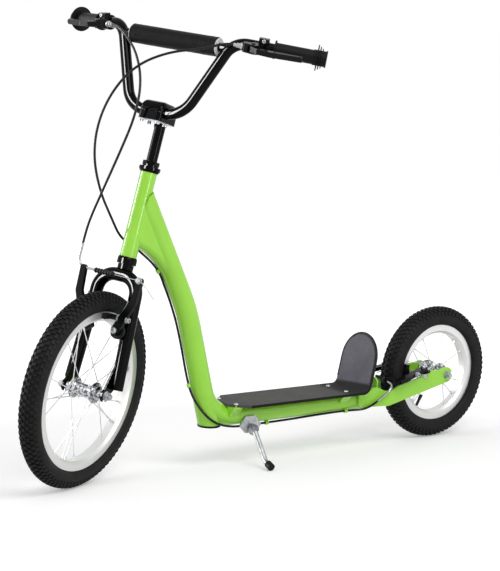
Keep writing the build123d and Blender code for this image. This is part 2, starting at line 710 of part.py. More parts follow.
node("deck_board", deck_board(), PARKED)
node("deck_screws", deck_screws(), PARKED)
node("stay_bridge", stay_bridge(), PARKED)

# ---------------------------------------------------------------- kickstand, in the upright frame
STAND_PIVOT = Vector(TUBE_FOOT_X - 97.5, 0, SPINE_Z - 31.5)
STAND_AXIS = Vector(0, 0.64, 0.768).normalized()
STAND_LUG_Y = 31.0
STAND_FOOT_R = 8.0
STAND_FOOT_Y = 112.0
STAND_FOOT_X = STAND_PIVOT.X + 11.0
STAND_LEG_R = 5.5
STAND_BOLT_R = 4.0
STAND_HEAD_R = 6.5
LUG_THICK = 4.0
LUG_R = 11.0
BRACKET_PLATE = 4.0
STAND_CENTRE = Vector(STAND_PIVOT.X, STAND_LUG_Y, STAND_PIVOT.Z)
STAND_PLANE = Plane(origin=STAND_CENTRE, x_dir=(1, 0, 0), z_dir=STAND_AXIS)
STAND_FOOT_Z = (STAND_FOOT_R + 0.5 + GROUND_Z + STAND_FOOT_Y * sin(radians(LEAN))) / cos(radians(LEAN))


def kickstand_bracket():
    """The zinc plate on the side of the spine, with its slanted lug and pivot pin."""
    y = MAIN_TUBE_R + 0.05
    outline = [(-25, 10), (-9, 30), (17, 30), (31, 10), (15, -6), (-13, -6)]
    plate = plate_xz(
        [(STAND_PIVOT.X + dx, STAND_PIVOT.Z + dz) for dx, dz in outline], y, y + BRACKET_PLATE
    )
    lug = extrude(STAND_PLANE * (Circle(LUG_R) + Location((0, -8)) * Rectangle(2 * LUG_R, 16)), -LUG_THICK)
    pin = extrude(STAND_PLANE * Circle(STAND_BOLT_R), 12.0)
    head = extrude(STAND_PLANE.offset(8.2) * Circle(STAND_HEAD_R), 4.0)
    plate -= extrude(STAND_PLANE * Circle(LUG_R + 0.6), 9.0)
    outside = Location((STAND_PIVOT.X, y + 100, STAND_PIVOT.Z)) * Box(100, 200, 100)
    return plate + (lug & outside) + pin + head


def kickstand_leg():
    """The leg: an eye on the pivot pin and a rod that bends out to the foot."""
    eye = STAND_PLANE.offset(0.2) * (Circle(LUG_R) - Circle(STAND_BOLT_R + RUNNING_GAP))
    body = extrude(eye, 7.6)
    start = STAND_CENTRE + STAND_AXIS * 5.9
    foot = Vector(STAND_FOOT_X, STAND_FOOT_Y, STAND_FOOT_Z)
    knee = Vector(STAND_FOOT_X - 3, STAND_FOOT_Y - 22, STAND_FOOT_Z + 6)
    away = (knee - start).normalized()
    line = FilletPolyline(start + away * (LUG_R - 1.5), knee, foot, radius=18)
    leg = tube_path(line, STAND_LEG_R)
    hole = extrude(STAND_PLANE * Circle(STAND_BOLT_R + RUNNING_GAP), 12)
    hole += extrude(STAND_PLANE.offset(7.9) * Circle(STAND_HEAD_R + 0.5), 8)
    hole += extrude(STAND_PLANE.offset(0.15) * Circle(LUG_R + 0.5), -6)
    return body + leg - hole, line


stand_leg, stand_line = kickstand_leg()
foot_start = Vector(STAND_FOOT_X, STAND_FOOT_Y, STAND_FOOT_Z) - (stand_line % 1) * 12
foot_end = Vector(STAND_FOOT_X, STAND_FOOT_Y, STAND_FOOT_Z) + (stand_line % 1) * 3
foot_block = rod(foot_start, foot_end, STAND_FOOT_R)
node("kickstand_bracket", kickstand_bracket(), PARKED)
node("kickstand_leg", stand_leg - foot_block, PARKED)
node("kickstand_foot", foot_block, PARKED)

# ---------------------------------------------------------------- stem and handlebar, steered frame
BLOCK_REAR = -15.0
BLOCK_FRONT = CLAMP_X + 22.0
BLOCK_HALF = 26.0
BLOCK_TOP = CLAMP_Z + 21.0
BLOCK_LOW = CLAMP_Z - 18.0
CAP_SPLIT = CLAMP_Z - 0.5
CAP_REAR = CLAMP_X - 19.0
BLOCK_ROUND = 19.0  # over the bar, front and rear
BLOCK_END_ROUND = 9.0
HARDWARE_THICK = 2.5
QUILL_LOW = 372.0
QUILL_SLANT = 35.0
WEDGE_LENGTH = 30.0
CLAMP_BOLT_R = 3.0


BAR_SHOULDER = (21.0, 128.0, 722.0)
BAR_LOWER_HALF = 60.0


def handlebar_line():
    """The bar's centreline: a straight middle, two risers and two swept-back ends."""
    half = [GRIP_END, BAR_SHOULDER, (CLAMP_X, BAR_LOWER_HALF, CLAMP_Z)]
    other = [(a, -b, c) for a, b, c in reversed(half)]
    return FilletPolyline(*half, *other, radius=[45, 55, 55, 45])


def stem_block():
    """The clamp's outline, round over the bar, along the bar."""
    outline = Polyline(
        (BLOCK_REAR, BLOCK_LOW), (BLOCK_FRONT, BLOCK_LOW), (BLOCK_FRONT, BLOCK_TOP),
        (BLOCK_REAR, BLOCK_TOP), close=True,
    )
    block = extrude(Plane.XZ * make_face(outline), BLOCK_HALF, both=True)
    dome = fillet(block.edges().filter_by(Axis.Y).group_by(Axis.Z)[-1], BLOCK_ROUND)
    ends = [
        edge for face in dome.faces().filter_by(Axis.Y) for edge in face.edges()
        if edge.center().Z > BLOCK_TOP - BLOCK_ROUND
    ]
    return fillet(ends, BLOCK_END_ROUND)


BAR_HOLE = tube_path(handlebar_line(), BAR_R + 0.05)
CAP_SPACE = Location(((CAP_REAR + BLOCK_FRONT + 20) / 2, 0, CAP_SPLIT - 25)) * Box(
    BLOCK_FRONT + 20 - CAP_REAR, 80, 50
)
BOLT_PLACES = [(CLAMP_X + x, y) for x in (-15, 15) for y in (-19, 19)]


def bolt_holes(radius, low, high):
    return [rod((x, y, low), (x, y, high), radius) for x, y in BOLT_PLACES]


def stem():
    """The quill and the upper half of the bar clamp, with a web between them."""
    body = stem_block()
    body += rod((0, 0, QUILL_LOW), (0, 0, BLOCK_LOW + 5), QUILL_R)
    web = [(0, BLOCK_LOW - 26), (0, BLOCK_LOW), (CAP_REAR, BLOCK_LOW), (CAP_REAR, BLOCK_LOW - 6)]
    body += plate_xz(web, -8, 8)
    wedge_cut = Location((0, 0, QUILL_LOW), (0, QUILL_SLANT, 0)) * Box(80, 60, 40)
    body = body - BAR_HOLE - CAP_SPACE - bolt_holes(CLAMP_BOLT_R, CAP_SPLIT - 1, CAP_SPLIT + 12)
    return body - Location((0, 0, -20)) * wedge_cut


def stem_cap():
    """The lower half of the bar clamp."""
    body = stem_block() & Location((0, 0, -0.6)) * CAP_SPACE
    body = body & Location(((CAP_REAR + BLOCK_FRONT) / 2 + 0.2, 0, CAP_SPLIT)) * Box(
        BLOCK_FRONT - CAP_REAR, 80, 80
    )
    return body - BAR_HOLE - bolt_holes(CLAMP_BOLT_R, BLOCK_LOW - 1, CAP_SPLIT + 1)


def stem_hardware():
    """The bright plate under the clamp and its four bolts."""
    low = BLOCK_LOW - HARDWARE_THICK
    plate = Location(((CAP_REAR + BLOCK_FRONT) / 2 + 0.2, 0, (low + BLOCK_LOW) / 2)) * Box(
        BLOCK_FRONT - CAP_REAR - 6, 2 * BLOCK_HALF - 8, HARDWARE_THICK
    )
    for bolt in bolt_holes(CLAMP_BOLT_R - 0.05, low - 1, CAP_SPLIT + 11):
        plate += bolt
    for bolt in bolt_holes(4.8, low - 4, low):
        plate += bolt
    return plate


BAR_LINE = handlebar_line()


def handlebar():
    """The riser bar with its welded crossbar."""
    bar = tube_path(BAR_LINE, BAR_R)
    cross = rod((CROSSBAR_X, -120, CROSSBAR_Z), (CROSSBAR_X, 120, CROSSBAR_Z), CROSSBAR_R)
    return bar + cross - tube_path(BAR_LINE, BAR_R - BAR_WALL)


CROSSBAR_R = 8.0


def bar_pad():
    """The foam pad round the crossbar."""
    return rod(
        (CROSSBAR_X, -PAD_HALF, CROSSBAR_Z), (CROSSBAR_X, PAD_HALF, CROSSBAR_Z), PAD_R, CROSSBAR_R + 0.05
    )


GRIP_R = 14.0
GRIP_FINS = [(25.2, -16.8), (22.2, -12.4), (19.2, -8.0)]  # radius and place from the bar's end
FIN_THICK = 1.6
GRIP_OUT = Vector(*GRIP_END)
GRIP_WAY = (GRIP_OUT - Vector(*BAR_SHOULDER)).normalized()


def grip():
    """The left rubber grip: an inner flange, a sleeve and thin fins beside the closed end."""
    length = GRIP_LENGTH
    body = Location((0, 0, -length)) * extrude(Circle(GRIP_R), length + 2.5)
    body += Location((0, 0, -length)) * extrude(Circle(GRIP_R + 4), 3)
    body += Location((0, 0, -24)) * extrude(Circle(GRIP_R + 1.2), 26.5)
    body += extrude(Circle(GRIP_R + 2.5), 2.5)
    for radius, place in GRIP_FINS:
        body += Location((0, 0, place)) * extrude(Circle(radius), FIN_THICK)
    body -= Location((0, 0, -length - 1)) * extrude(Circle(BAR_R + 0.02), length + 1)
    return Plane(origin=GRIP_OUT, z_dir=GRIP_WAY).location * body


node("stem", stem(), STEERED)
node("stem_cap", stem_cap(), STEERED)
node("stem_hardware", stem_hardware(), STEERED)
node("handlebar", handlebar(), STEERED)
node("bar_pad", bar_pad(), STEERED)
node("grips", group(grip(), mirrored(grip())), STEERED)


# ---------------------------------------------------------------- quill wedge
def quill_wedge():
    """The slanted expander under the quill."""
    slant = Location((0, 0, QUILL_LOW - 20.5), (0, QUILL_SLANT, 0)) * Box(80, 60, 40)
    return rod((0, 0, QUILL_LOW - WEDGE_LENGTH), (0, 0, QUILL_LOW + 12), QUILL_R) & slant


node("quill_wedge", quill_wedge(), STEERED)

# ---------------------------------------------------------------- V-brakes
# A brake's own frame has x along the arms away from the axle, y across the wheel, and z along the
# studs, away from the frame, with its origin on the axle's height. One side is made and mirrored.
ARM_THICK = 9.0
ARM_GAP = 0.5
STUD_R = 4.0
STUD_FOOT_R = 7.0
STUD_HEAD_R = 6.5
PAD_FACE_GAP = 1.5
PAD_DEPTH = 9.0
PAD_RADIAL = 10.0
PAD_TURN = 9.0  # half of the arc that a pad covers, degrees
PAD_POST_R = 3.0
NOODLE_R = 2.5
# stud place, height of the arms' middle plane, axle height, radius of the pad's track, length of
# the pad's post past the stud, and the arm's outline as (along, out, radius) from the stud
FRONT_BRAKE = dict(
    stud=(127.0, 38.5), mid=43.0, axle=FORK_OFFSET, track=FRONT_BEAD_R, post=19.0,
    arm=[(0, 0, 9.5), (26, 10, 7.8), (60, 25, 7.0), (105, 27.5, 6.0)],
)
REAR_BRAKE = dict(
    stud=(STUD_ALONG, STAY_INNER + STAY_THICK / 2), mid=32.0, axle=0.0, track=REAR_BEAD_R, post=13.0,
    arm=[(0, 0, 9.5), (33, 5, 8.0), (62, 12, 7.5), (90, 14, 7.0)],
)
FRONT_BRAKE_PLACE = STEERED * Plane(origin=(0, 0, 0), x_dir=(0, 0, 1), z_dir=(1, 0, 0)).location
stay_slope = radians(STAY_SLOPE)
REAR_BRAKE_PLACE = PARKED * Plane(
    origin=(0, 0, REAR_TYRE_R), x_dir=(cos(stay_slope), 0, -sin(stay_slope)),
    z_dir=(sin(stay_slope), 0, cos(stay_slope)),
).location


def arm_tip(spec):
    """Centre of the cable end of an arm."""
    return Vector(spec["stud"][0] + spec["arm"][-1][0], spec["stud"][1] + spec["arm"][-1][1], spec["mid"])


def pad_place(spec):
    """How far along the arms the pad's post crosses their middle plane."""
    return sqrt(spec["track"] ** 2 - (spec["mid"] - spec["axle"]) ** 2)


def brake_arm(spec):
    """A forged arm: tapered links from the stud past the pad to the cable end."""
    body = None
    for (x0, y0, r0), (x1, y1, r1) in zip(spec["arm"], spec["arm"][1:]):
        ends = Circle(r0).edges() + (Location((x1 - x0, y1 - y0)) * Circle(r1)).edges()
        link = Location((x0, y0)) * extrude(make_hull(ends), ARM_THICK)
        body = link if body is None else body + link
    x, y = spec["stud"]
    body = Location((x, y, spec["mid"] - ARM_THICK / 2)) * body
    body -= rod((x, y, 0), (x, y, 80), STUD_R + RUNNING_GAP)
    body -= rod((pad_place(spec), 0, spec["mid"]), (pad_place(spec), 90, spec["mid"]), PAD_POST_R + 0.05)
    tip = arm_tip(spec)
    return body - rod((tip.X, 0, tip.Z), (tip.X, 110, tip.Z), NOODLE_R + 0.05)


def brake_pad(spec):
    """A curved pad in its holder with the threaded post."""
    inner = RIM_HALF + PAD_FACE_GAP
    profile = Location((spec["track"], inner + PAD_DEPTH / 2)) * Rectangle(PAD_RADIAL, PAD_DEPTH)
    ring = revolve(profile, Axis.Y, revolution_arc=2 * PAD_TURN)
    tilt = degrees(atan2(spec["mid"] - spec["axle"], pad_place(spec)))
    ring = Location((0, 0, spec["axle"]), (0, -PAD_TURN - tilt, 0)) * ring
    post = rod(
        (pad_place(spec), inner + PAD_DEPTH - 2, spec["mid"]),
        (pad_place(spec), spec["stud"][1] + spec["post"], spec["mid"]), PAD_POST_R,
    )
    return ring + post


def brake_stud(spec, foot):
    """A stud on its foot, with the bolt head that holds the arm."""
    x, y = spec["stud"]
    low = spec["mid"] - ARM_THICK / 2 - ARM_GAP
    high = spec["mid"] + ARM_THICK / 2 + ARM_GAP
    return foot + rod((x, y, low), (x, y, high), STUD_R) + rod((x, y, high), (x, y, high + 4), STUD_HEAD_R)


def brake_set(name, spec, place, left, foot):
    """Arms, pads and studs; left is the side of the brake's +y, 1 for the scooter's left."""
    for side in (1, -1):
        word = "left" if side == left else "right"
        arm, pad = brake_arm(spec), brake_pad(spec)
        node(f"{name}_{word}_arm", arm if side > 0 else mirrored(arm), place)
        node(f"{name}_{word}_pad", pad if side > 0 else mirrored(pad), place)
    stud = brake_stud(spec, foot)
    node(f"{name}_brake_studs", group(stud, mirrored(stud)), place)


blades = fork_blades()
node("fork_blades", blades, STEERED)
stud_x, stud_y = REAR_BRAKE["stud"]
tab_cut = Location((STUD_ALONG, STAY_INNER + STAY_THICK / 2, 0)) * Box(
    60, STAY_THICK + 0.04, STAY_HEIGHT + 2 * TAB_RISE
)
front_stud_x, front_stud_y = FRONT_BRAKE["stud"]
front_face = FRONT_BRAKE["mid"] - ARM_THICK / 2 - ARM_GAP
rear_foot = rod((stud_x, stud_y, 14.0), (stud_x, stud_y, REAR_BRAKE["mid"] - ARM_THICK / 2 - ARM_GAP),
                STUD_FOOT_R) - tab_cut
front_foot = rod(
    (front_stud_x, front_stud_y, front_face), (front_stud_x, front_stud_y, front_face + 0.2), STUD_FOOT_R
)
brake_set("front", FRONT_BRAKE, FRONT_BRAKE_PLACE, -1, front_foot)
brake_set("rear", REAR_BRAKE, REAR_BRAKE_PLACE, 1, rear_foot.solids().sort_by(Axis.Z)[-1])

# noodles: bent tubes that lead the cables into the arms
front_tip = arm_tip(FRONT_BRAKE)
FRONT_NOODLE_OUT = 82.0
FRONT_NOODLE_TOP = 277.0
front_noodle_line = FilletPolyline(
    (FRONT_BRAKE["mid"], -40, front_tip.X),
    (FRONT_BRAKE["mid"], -FRONT_NOODLE_OUT, front_tip.X),
    (FRONT_BRAKE["mid"], -FRONT_NOODLE_OUT, FRONT_NOODLE_TOP),
    radius=18,
)
node("front_noodle", tube_path(front_noodle_line, NOODLE_R), STEERED)
NODES["front_right_arm"] -= STEERED * tube_path(front_noodle_line, NOODLE_R + 0.02)

REAR_NOODLE = [(157.0, 10.0, 147.0), (172.0, 61.5, 143.5), (204.0, 43.5, 109.5)]
REAR_NOODLE_RADIUS = 19.0
STIRRUP_R = 1.6
STIRRUP_SPREAD = 6.0
rear_noodle_line = FilletPolyline(*REAR_NOODLE, radius=REAR_NOODLE_RADIUS)
node("rear_noodle", tube_path(rear_noodle_line, NOODLE_R), PARKED)


def stirrup():
    """The two wires from the left rear arm to the block that holds the noodle."""
    start, way = rear_noodle_line @ 0, rear_noodle_line % 0
    to_upright = PARKED.inverse() * REAR_BRAKE_PLACE
    tip = arm_tip(REAR_BRAKE)
    square = Vector(sin(stay_slope), 0, cos(stay_slope))
    block = rod(start + way * 1.5, start + way * 8.5, STIRRUP_SPREAD + STIRRUP_R + 0.4, NOODLE_R)
    middle = start + way * 5
    made = block
    for side in (1, -1):
        end = (to_upright * Location((tip.X, tip.Y - 2, tip.Z + side * 3.0))).position
        made += rod(middle + square * side * STIRRUP_SPREAD, end, STIRRUP_R)
    return made


rear_arm = PARKED.inverse() * NODES["rear_left_arm"] + stirrup()
node("rear_left_arm", rear_arm - tube_path(rear_noodle_line, NOODLE_R), PARKED)

# ---------------------------------------------------------------- brake levers
LEVER_BACK = 121.0  # clamp ring from the bar's end
LEVER_DROP = 20.0  # how far the lever hangs below the bar's forward side, degrees
LEVER_PIVOT = (28.0, -18.0)
LEVER_PIN_R = 2.5
LEVER_BODY_HALF = 9.0  # half the height of the bracket's two cheeks together
BLADE_HALF = 5.2
BLADE_LINE = [(*LEVER_PIVOT, 9.0), (43.0, -3.0, 9.0), (49.5, 18.0, 7.0), (44.5, 75.0, 4.5)]
BALL_R = 6.0
BARREL_X = 24.0
BARREL_SEAT = -38.0  # the bracket's end, where the barrel's head lies
BARREL_END = -56.0
BARREL_STUB_R = 2.85
drop = Vector(cos(radians(LEVER_DROP)), 0, -sin(radians(LEVER_DROP)))
LEVER_PLANE = Plane(
    origin=GRIP_OUT - GRIP_WAY * LEVER_BACK, x_dir=drop - GRIP_WAY * drop.dot(GRIP_WAY), z_dir=GRIP_WAY
)


def lever_plate(circles, half):
    """A plate in the lever's plane, its outline stretched round circles (x, z, radius) in turn."""
    body = None
    for (x0, z0, r0), (x1, z1, r1) in zip(circles, circles[1:]):
        ends = Circle(r0).edges() + (Location((x1 - x0, z1 - z0)) * Circle(r1)).edges()
        link = Location((x0, z0)) * extrude(make_hull(ends), half, both=True)
        body = link if body is None else body + link
    return Plane(origin=(0, 0, 0), x_dir=(1, 0, 0), z_dir=(0, -1, 0)).location * body


def lever_bracket():
    """The clamp on the bar with its bolt boss, and the slotted body that holds the blade's pin."""
    px, pz = LEVER_PIVOT
    ring = Location((0, 0, -10)) * extrude(Circle(BAR_R + 4), 20)
    boss = Location((7, -13, 0)) * Box(14, 12, 20)
    arm = lever_plate([(10, -4, 12), (px, pz + 2, 11.5), (BARREL_X + 2, BARREL_SEAT + 8, 8)], LEVER_BODY_HALF)
    slot_rear = px - BLADE_LINE[0][2] - 0.6
    slot_low = pz - BLADE_LINE[0][2] - 0.6
    slot = Location(((slot_rear + 60) / 2, 0, (slot_low + 20) / 2)) * Box(
        60 - slot_rear, 2 * BLADE_HALF + 0.6, 20 - slot_low
    )
    body = ring + boss + arm - slot
    body -= rod((BARREL_X, 0, BARREL_SEAT - 1), (BARREL_X, 0, slot_low + 1), BARREL_STUB_R + 0.05)
    body -= Location((0, 0, -45)) * extrude(Circle(BAR_R + 0.05), 65)
    reach = LEVER_BODY_HALF - 0.1
    return body + rod((px, -reach, pz), (px, reach, pz), LEVER_PIN_R)


def lever_blade():
    """The two-finger blade with its eye and the ball at its end."""
    px, pz = LEVER_PIVOT
    end_x, end_z = BLADE_LINE[-1][:2]
    body = lever_plate(BLADE_LINE, BLADE_HALF) + Location((end_x, 0, end_z)) * Sphere(BALL_R)
    return body - rod((px, -10, pz), (px, 10, pz), LEVER_PIN_R + RUNNING_GAP)


def barrel_adjuster():
    """The knurled screw that the cable's housing ends in."""
    head = BARREL_SEAT - 0.2
    neck = BARREL_END + 6
    body = rod((BARREL_X, 0, head), (BARREL_X, 0, neck), 4.6)
    body += rod((BARREL_X, 0, neck), (BARREL_X, 0, BARREL_END), 3.4)
    stub_end = LEVER_PIVOT[1] - BLADE_LINE[0][2] - 0.9
    return body + rod((BARREL_X, 0, stub_end), (BARREL_X, 0, head), BARREL_STUB_R)


left_bracket = LEVER_PLANE.location * lever_bracket()
left_barrel = LEVER_PLANE.location * barrel_adjuster()
left_blade = LEVER_PLANE.location * lever_blade()
node("lever_brackets", group(left_bracket, mirrored(left_bracket)), STEERED)
node("barrel_adjusters", group(left_barrel, mirrored(left_barrel)), STEERED)
node("left_brake_lever", left_blade, STEERED)
node("right_brake_lever", mirrored(left_blade), STEERED)

# ---------------------------------------------------------------- cables, in the parked pose
CABLE_LEAD = 15.0  # straight run out of a barrel
barrel_end = (LEVER_PLANE.location * Location((BARREL_X, 0, BARREL_END))).position


def parked(place, points):
    """The points of one frame, moved into the parked pose."""
    return [(place * Location(tuple(point))).position for point in points]


def cable(name, points):
    """A cable's housing: straight runs joined by tangent arcs that nearly meet."""
    runs = [(b - a).length for a, b in zip(points, points[1:])]
    radii = []
    for i in range(1, len(points) - 1):
        turn = (points[i] - points[i - 1]).get_angle(points[i + 1] - points[i])
        radii.append(0.45 * min(runs[i - 1], runs[i]) / tan(radians(turn) / 2))
    line = FilletPolyline(*points, radius=radii)
    NODES[name] = tube_path(line, CABLE_R)
    return line


rear_start = barrel_end - GRIP_WAY * 0.05
rear_lead = barrel_end - GRIP_WAY * CABLE_LEAD
front_start = Vector(rear_start.X, -rear_start.Y, rear_start.Z)
front_lead = Vector(rear_lead.X, -rear_lead.Y, rear_lead.Z)
noodle_out = rear_noodle_line % 1
# steered frame, from the left lever to the head tube
REAR_UPPER = [
    rear_start, rear_lead, (60, 88, 692), (84, 30, 672), (106, -22, 632), (122, -50, 572), (124, -63, 505),
    (111, -61, 440), (78, -48, 380), (46, -30, 338),
]
# head tube's frame, round its right side
HEAD_SIDE = [(10, -27, 304), (-30, -17, 287)]
# upright frame: ahead of the big tube's foot, and shares of the deck's length from its rear end
FIRST_CLIP = (TUBE_FOOT_X + 134.0, -6.0, 411.0)
REAR_SEAM = (TUBE_FOOT_X + 123.0, -8.0, 391.0)
BESIDE_TUBE = [
    (106.5, -11, 361), (83.5, -13, 306), (64.5, -13, 250), (49.5, -12, 198), (43.5, 2, 157),
    (25.5, 20, 122), (-3.5, 28, 98),
]
UNDER_DECK = [
    (0.96, 22, 86), (0.83, 10, 81.8), (0.672, 6, 81.5), (0.5, 10, 83), (0.328, 15, 86.5),
    (0.161, 18, 89), (0.017, 19, 88.5),
]
REAR_LOWER = [REAR_SEAM]
REAR_LOWER += [(TUBE_FOOT_X + dx, y, z) for dx, y, z in BESIDE_TUBE]
REAR_LOWER += [(DECK_REAR + share * (DECK_FRONT - DECK_REAR), y, z) for share, y, z in UNDER_DECK]
REAR_LOWER += [Vector(*REAR_NOODLE[-1]) + noodle_out * 28, Vector(*REAR_NOODLE[-1]) + noodle_out * 0.05]
# steered frame, from the right lever to the front noodle
FRONT_UPPER = [
    front_start, front_lead, (62, -85, 692), (88, -35, 655), (104, 0, 600), (108, 6, 535), (102, -10, 470),
]
FRONT_SEAM = (98.0, -22.0, 427.0)
FRONT_LOWER = [
    FRONT_SEAM, (94, -34, 384), (74, -58, 334), (FRONT_BRAKE["mid"], -FRONT_NOODLE_OUT, 302),
    (FRONT_BRAKE["mid"], -FRONT_NOODLE_OUT, FRONT_NOODLE_TOP + 0.05),
]
cable("rear_brake_cable_upper",
      parked(STEERED, REAR_UPPER) + parked(STRAIGHT, HEAD_SIDE) + parked(PARKED, [FIRST_CLIP, REAR_SEAM]))
rear_low_line = cable("rear_brake_cable_lower", parked(PARKED, REAR_LOWER))
cable("front_brake_cable_upper", parked(STEERED, FRONT_UPPER + [FRONT_SEAM]))
cable("front_brake_cable_lower", parked(STEERED, FRONT_LOWER))

# ---------------------------------------------------------------- cable clips
CLIP_R = 4.4
CLIP_LENGTH = 8.0
CLIP_PLACES = {1: 0.35, 4: 0.5, 10: 0.5, 14: 0.2}  # run of the lower cable, and how far along it


def cable_clips():
    """Rings welded to the big tube on short feet, at the places where the cable runs beside it."""
    centreline = main_line(SPINE_REAR)
    tube = tube_path(centreline, MAIN_TUBE_R + 0.02) + tube_flare()
    channel = PARKED.inverse() * tube_path(rear_low_line, CABLE_R + 0.15)
    made = []
    for run, share in CLIP_PLACES.items():
        a, b = Vector(*REAR_LOWER[run]), Vector(*REAR_LOWER[run + 1])
        place = a + (b - a) * share
        way = (b - a).normalized()
        nearest = centreline.distance_to_with_closest_points(place)[1]
        ring = rod(place - way * CLIP_LENGTH / 2, place + way * CLIP_LENGTH / 2, CLIP_R)
        ring += rod(place, nearest, 2.2)
        ring -= rod(place - way * CLIP_LENGTH, place + way * CLIP_LENGTH, CABLE_R + 0.3)
        made.append((ring - tube - channel).solids().sort_by(SortBy.VOLUME)[-1])
    return group(*made)


node("cable_clips", cable_clips(), PARKED)

for name, shape in NODES.items():
    export_step(shape, f"parts/{name}.step")
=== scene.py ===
import json
import math

import bmesh
import bpy
from mathutils import Matrix, Vector, noise

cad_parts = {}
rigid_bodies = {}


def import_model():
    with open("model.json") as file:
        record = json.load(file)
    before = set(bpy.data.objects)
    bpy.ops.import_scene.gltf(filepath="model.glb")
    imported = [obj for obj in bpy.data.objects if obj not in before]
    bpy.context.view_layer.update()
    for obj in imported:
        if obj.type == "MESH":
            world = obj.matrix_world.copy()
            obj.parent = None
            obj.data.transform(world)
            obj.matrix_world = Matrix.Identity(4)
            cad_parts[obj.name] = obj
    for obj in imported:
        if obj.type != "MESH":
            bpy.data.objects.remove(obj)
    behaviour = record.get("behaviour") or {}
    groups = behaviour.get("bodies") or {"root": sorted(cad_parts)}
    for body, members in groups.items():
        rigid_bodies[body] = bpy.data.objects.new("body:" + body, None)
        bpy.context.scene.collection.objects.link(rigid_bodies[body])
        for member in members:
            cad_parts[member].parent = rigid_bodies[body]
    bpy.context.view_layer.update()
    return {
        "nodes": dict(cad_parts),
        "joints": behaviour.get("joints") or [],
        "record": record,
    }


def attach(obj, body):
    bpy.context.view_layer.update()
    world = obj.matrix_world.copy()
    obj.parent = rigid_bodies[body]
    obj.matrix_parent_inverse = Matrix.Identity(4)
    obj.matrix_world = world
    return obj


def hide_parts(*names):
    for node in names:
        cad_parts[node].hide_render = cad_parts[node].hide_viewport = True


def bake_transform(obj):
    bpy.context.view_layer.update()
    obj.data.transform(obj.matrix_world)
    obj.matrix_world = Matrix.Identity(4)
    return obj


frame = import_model()
MM = 0.001  # the scene is in metres; sizes below are in millimetres

# ---------------------------------------------------------------- the scooter's frames
joints = {joint["name"]: joint for joint in frame["joints"]}


def axis_of(name):
    """The unit axis of a joint at rest."""
    return Vector(joints[name]["axis"]).normalized()


def frame_of(x, y, z, origin):
    """A frame with these axes at this origin, as a matrix from its own metres to the scene's."""
    matrix = Matrix((x, y, z)).transposed().to_4x4()
    matrix.translation = origin
    return matrix


REAR_RADIUS = 152 * MM
FORK_OFFSET = 36.7 * MM  # how far the front axle stands ahead of the steering axis
STEER_TURN = math.radians(25)  # how far the bar is turned at rest
GUARD_SHADE_FROM = 301 * MM  # painted shade: from here back to the guard the deck's grit is painted dark, as the guard's shadow
rear_axle = axis_of("rear_wheel_spin")
front_axle = axis_of("front_wheel_spin")
steer_axis = axis_of("steering_turn")
rear_centre = Vector(joints["rear_wheel_spin"]["pos_m"])
front_centre = Vector(joints["front_wheel_spin"]["pos_m"])
forward = Vector((1, 0, 0))
up = forward.cross(rear_axle)
fork_ahead = front_axle.cross(steer_axis)
# the frame's own axes before it leans, the fork's, and the head tube's
upright = frame_of(forward, rear_axle, up, rear_centre - up * REAR_RADIUS)
steered = frame_of(fork_ahead, front_axle, steer_axis, front_centre - fork_ahead * FORK_OFFSET)
straight = steered @ Matrix.Rotation(-STEER_TURN, 4, "Z")
# wheel frames have the axle along z
front_wheel = frame_of(fork_ahead, -steer_axis, front_axle, front_centre)
rear_wheel = frame_of(forward, -up, rear_axle, rear_centre)
guard_shade_x = (upright @ Vector((GUARD_SHADE_FROM, 0, 0))).x


# ---------------------------------------------------------------- materials
def linear(hex_colour):
    """An sRGB hex colour as linear RGBA."""
    parts = [int(hex_colour[i:i + 2], 16) / 255 for i in (0, 2, 4)]
    return (*[c / 12.92 if c <= 0.04045 else ((c + 0.055) / 1.055) ** 2.4 for c in parts], 1.0)


def add(tree, kind, settings=None, **links):
    """Adds a node with its settings, where stops are a ramp's places and sRGB hex colours.

    Links are socket names with a value or another node's output.
    """
    made = tree.nodes.new(kind)
    for key, value in (settings or {}).items():
        if key == "stops":
            for element, (place, colour) in zip(made.color_ramp.elements, value):
                element.position, element.color = place, linear(colour)
        else:
            setattr(made, key, value)
    for key, value in links.items():
        socket = made.inputs[int(key[1:])] if key[0] == "_" else made.inputs[key.replace("_", " ")]
        if isinstance(value, bpy.types.NodeSocket):
            tree.links.new(value, socket)
        else:
            socket.default_value = value
    return made


def new_material(name, colour, roughness, metallic=0.0, **sockets):
    """A material with constant values on its shader; returns it, its tree and its shader."""
    material = bpy.data.materials.new(name)
    material.use_nodes = True
    shader = material.node_tree.nodes["Principled BSDF"]
    shader.inputs["Base Color"].default_value = linear(colour)
    shader.inputs["Roughness"].default_value = roughness
    shader.inputs["Metallic"].default_value = metallic
    for key, value in sockets.items():
        shader.inputs[key.replace("_", " ")].default_value = value
    return material, material.node_tree, shader


def powder_coat():
    """Lime powder coat, baked: an even saturated colour under a glossy skin with faint orange peel."""
    material, tree, shader = new_material("lime_powder_coat", "99de33", 0.3, 0.0, Coat_Weight=0.35,
                                          Coat_Roughness=0.08)
    place = add(tree, "ShaderNodeTexCoord")
    peel = add(tree, "ShaderNodeTexNoise", Vector=place.outputs["Object"], Scale=1 / (1.2 * MM))
    skin = add(tree, "ShaderNodeBump", Strength=0.5, Distance=0.02 * MM, Height=peel.outputs["Fac"])
    tree.links.new(skin.outputs["Normal"], shader.inputs["Normal"])
    cloud = add(tree, "ShaderNodeTexNoise", Vector=place.outputs["Object"], Scale=1 / (90 * MM), Detail=3.0)
    tint = add(tree, "ShaderNodeValToRGB", {"stops": [(0.35, "96db31"), (0.65, "9ce236")]},
               Fac=cloud.outputs["Fac"])
    tree.links.new(tint.outputs["Color"], shader.inputs["Base Color"])
    return material


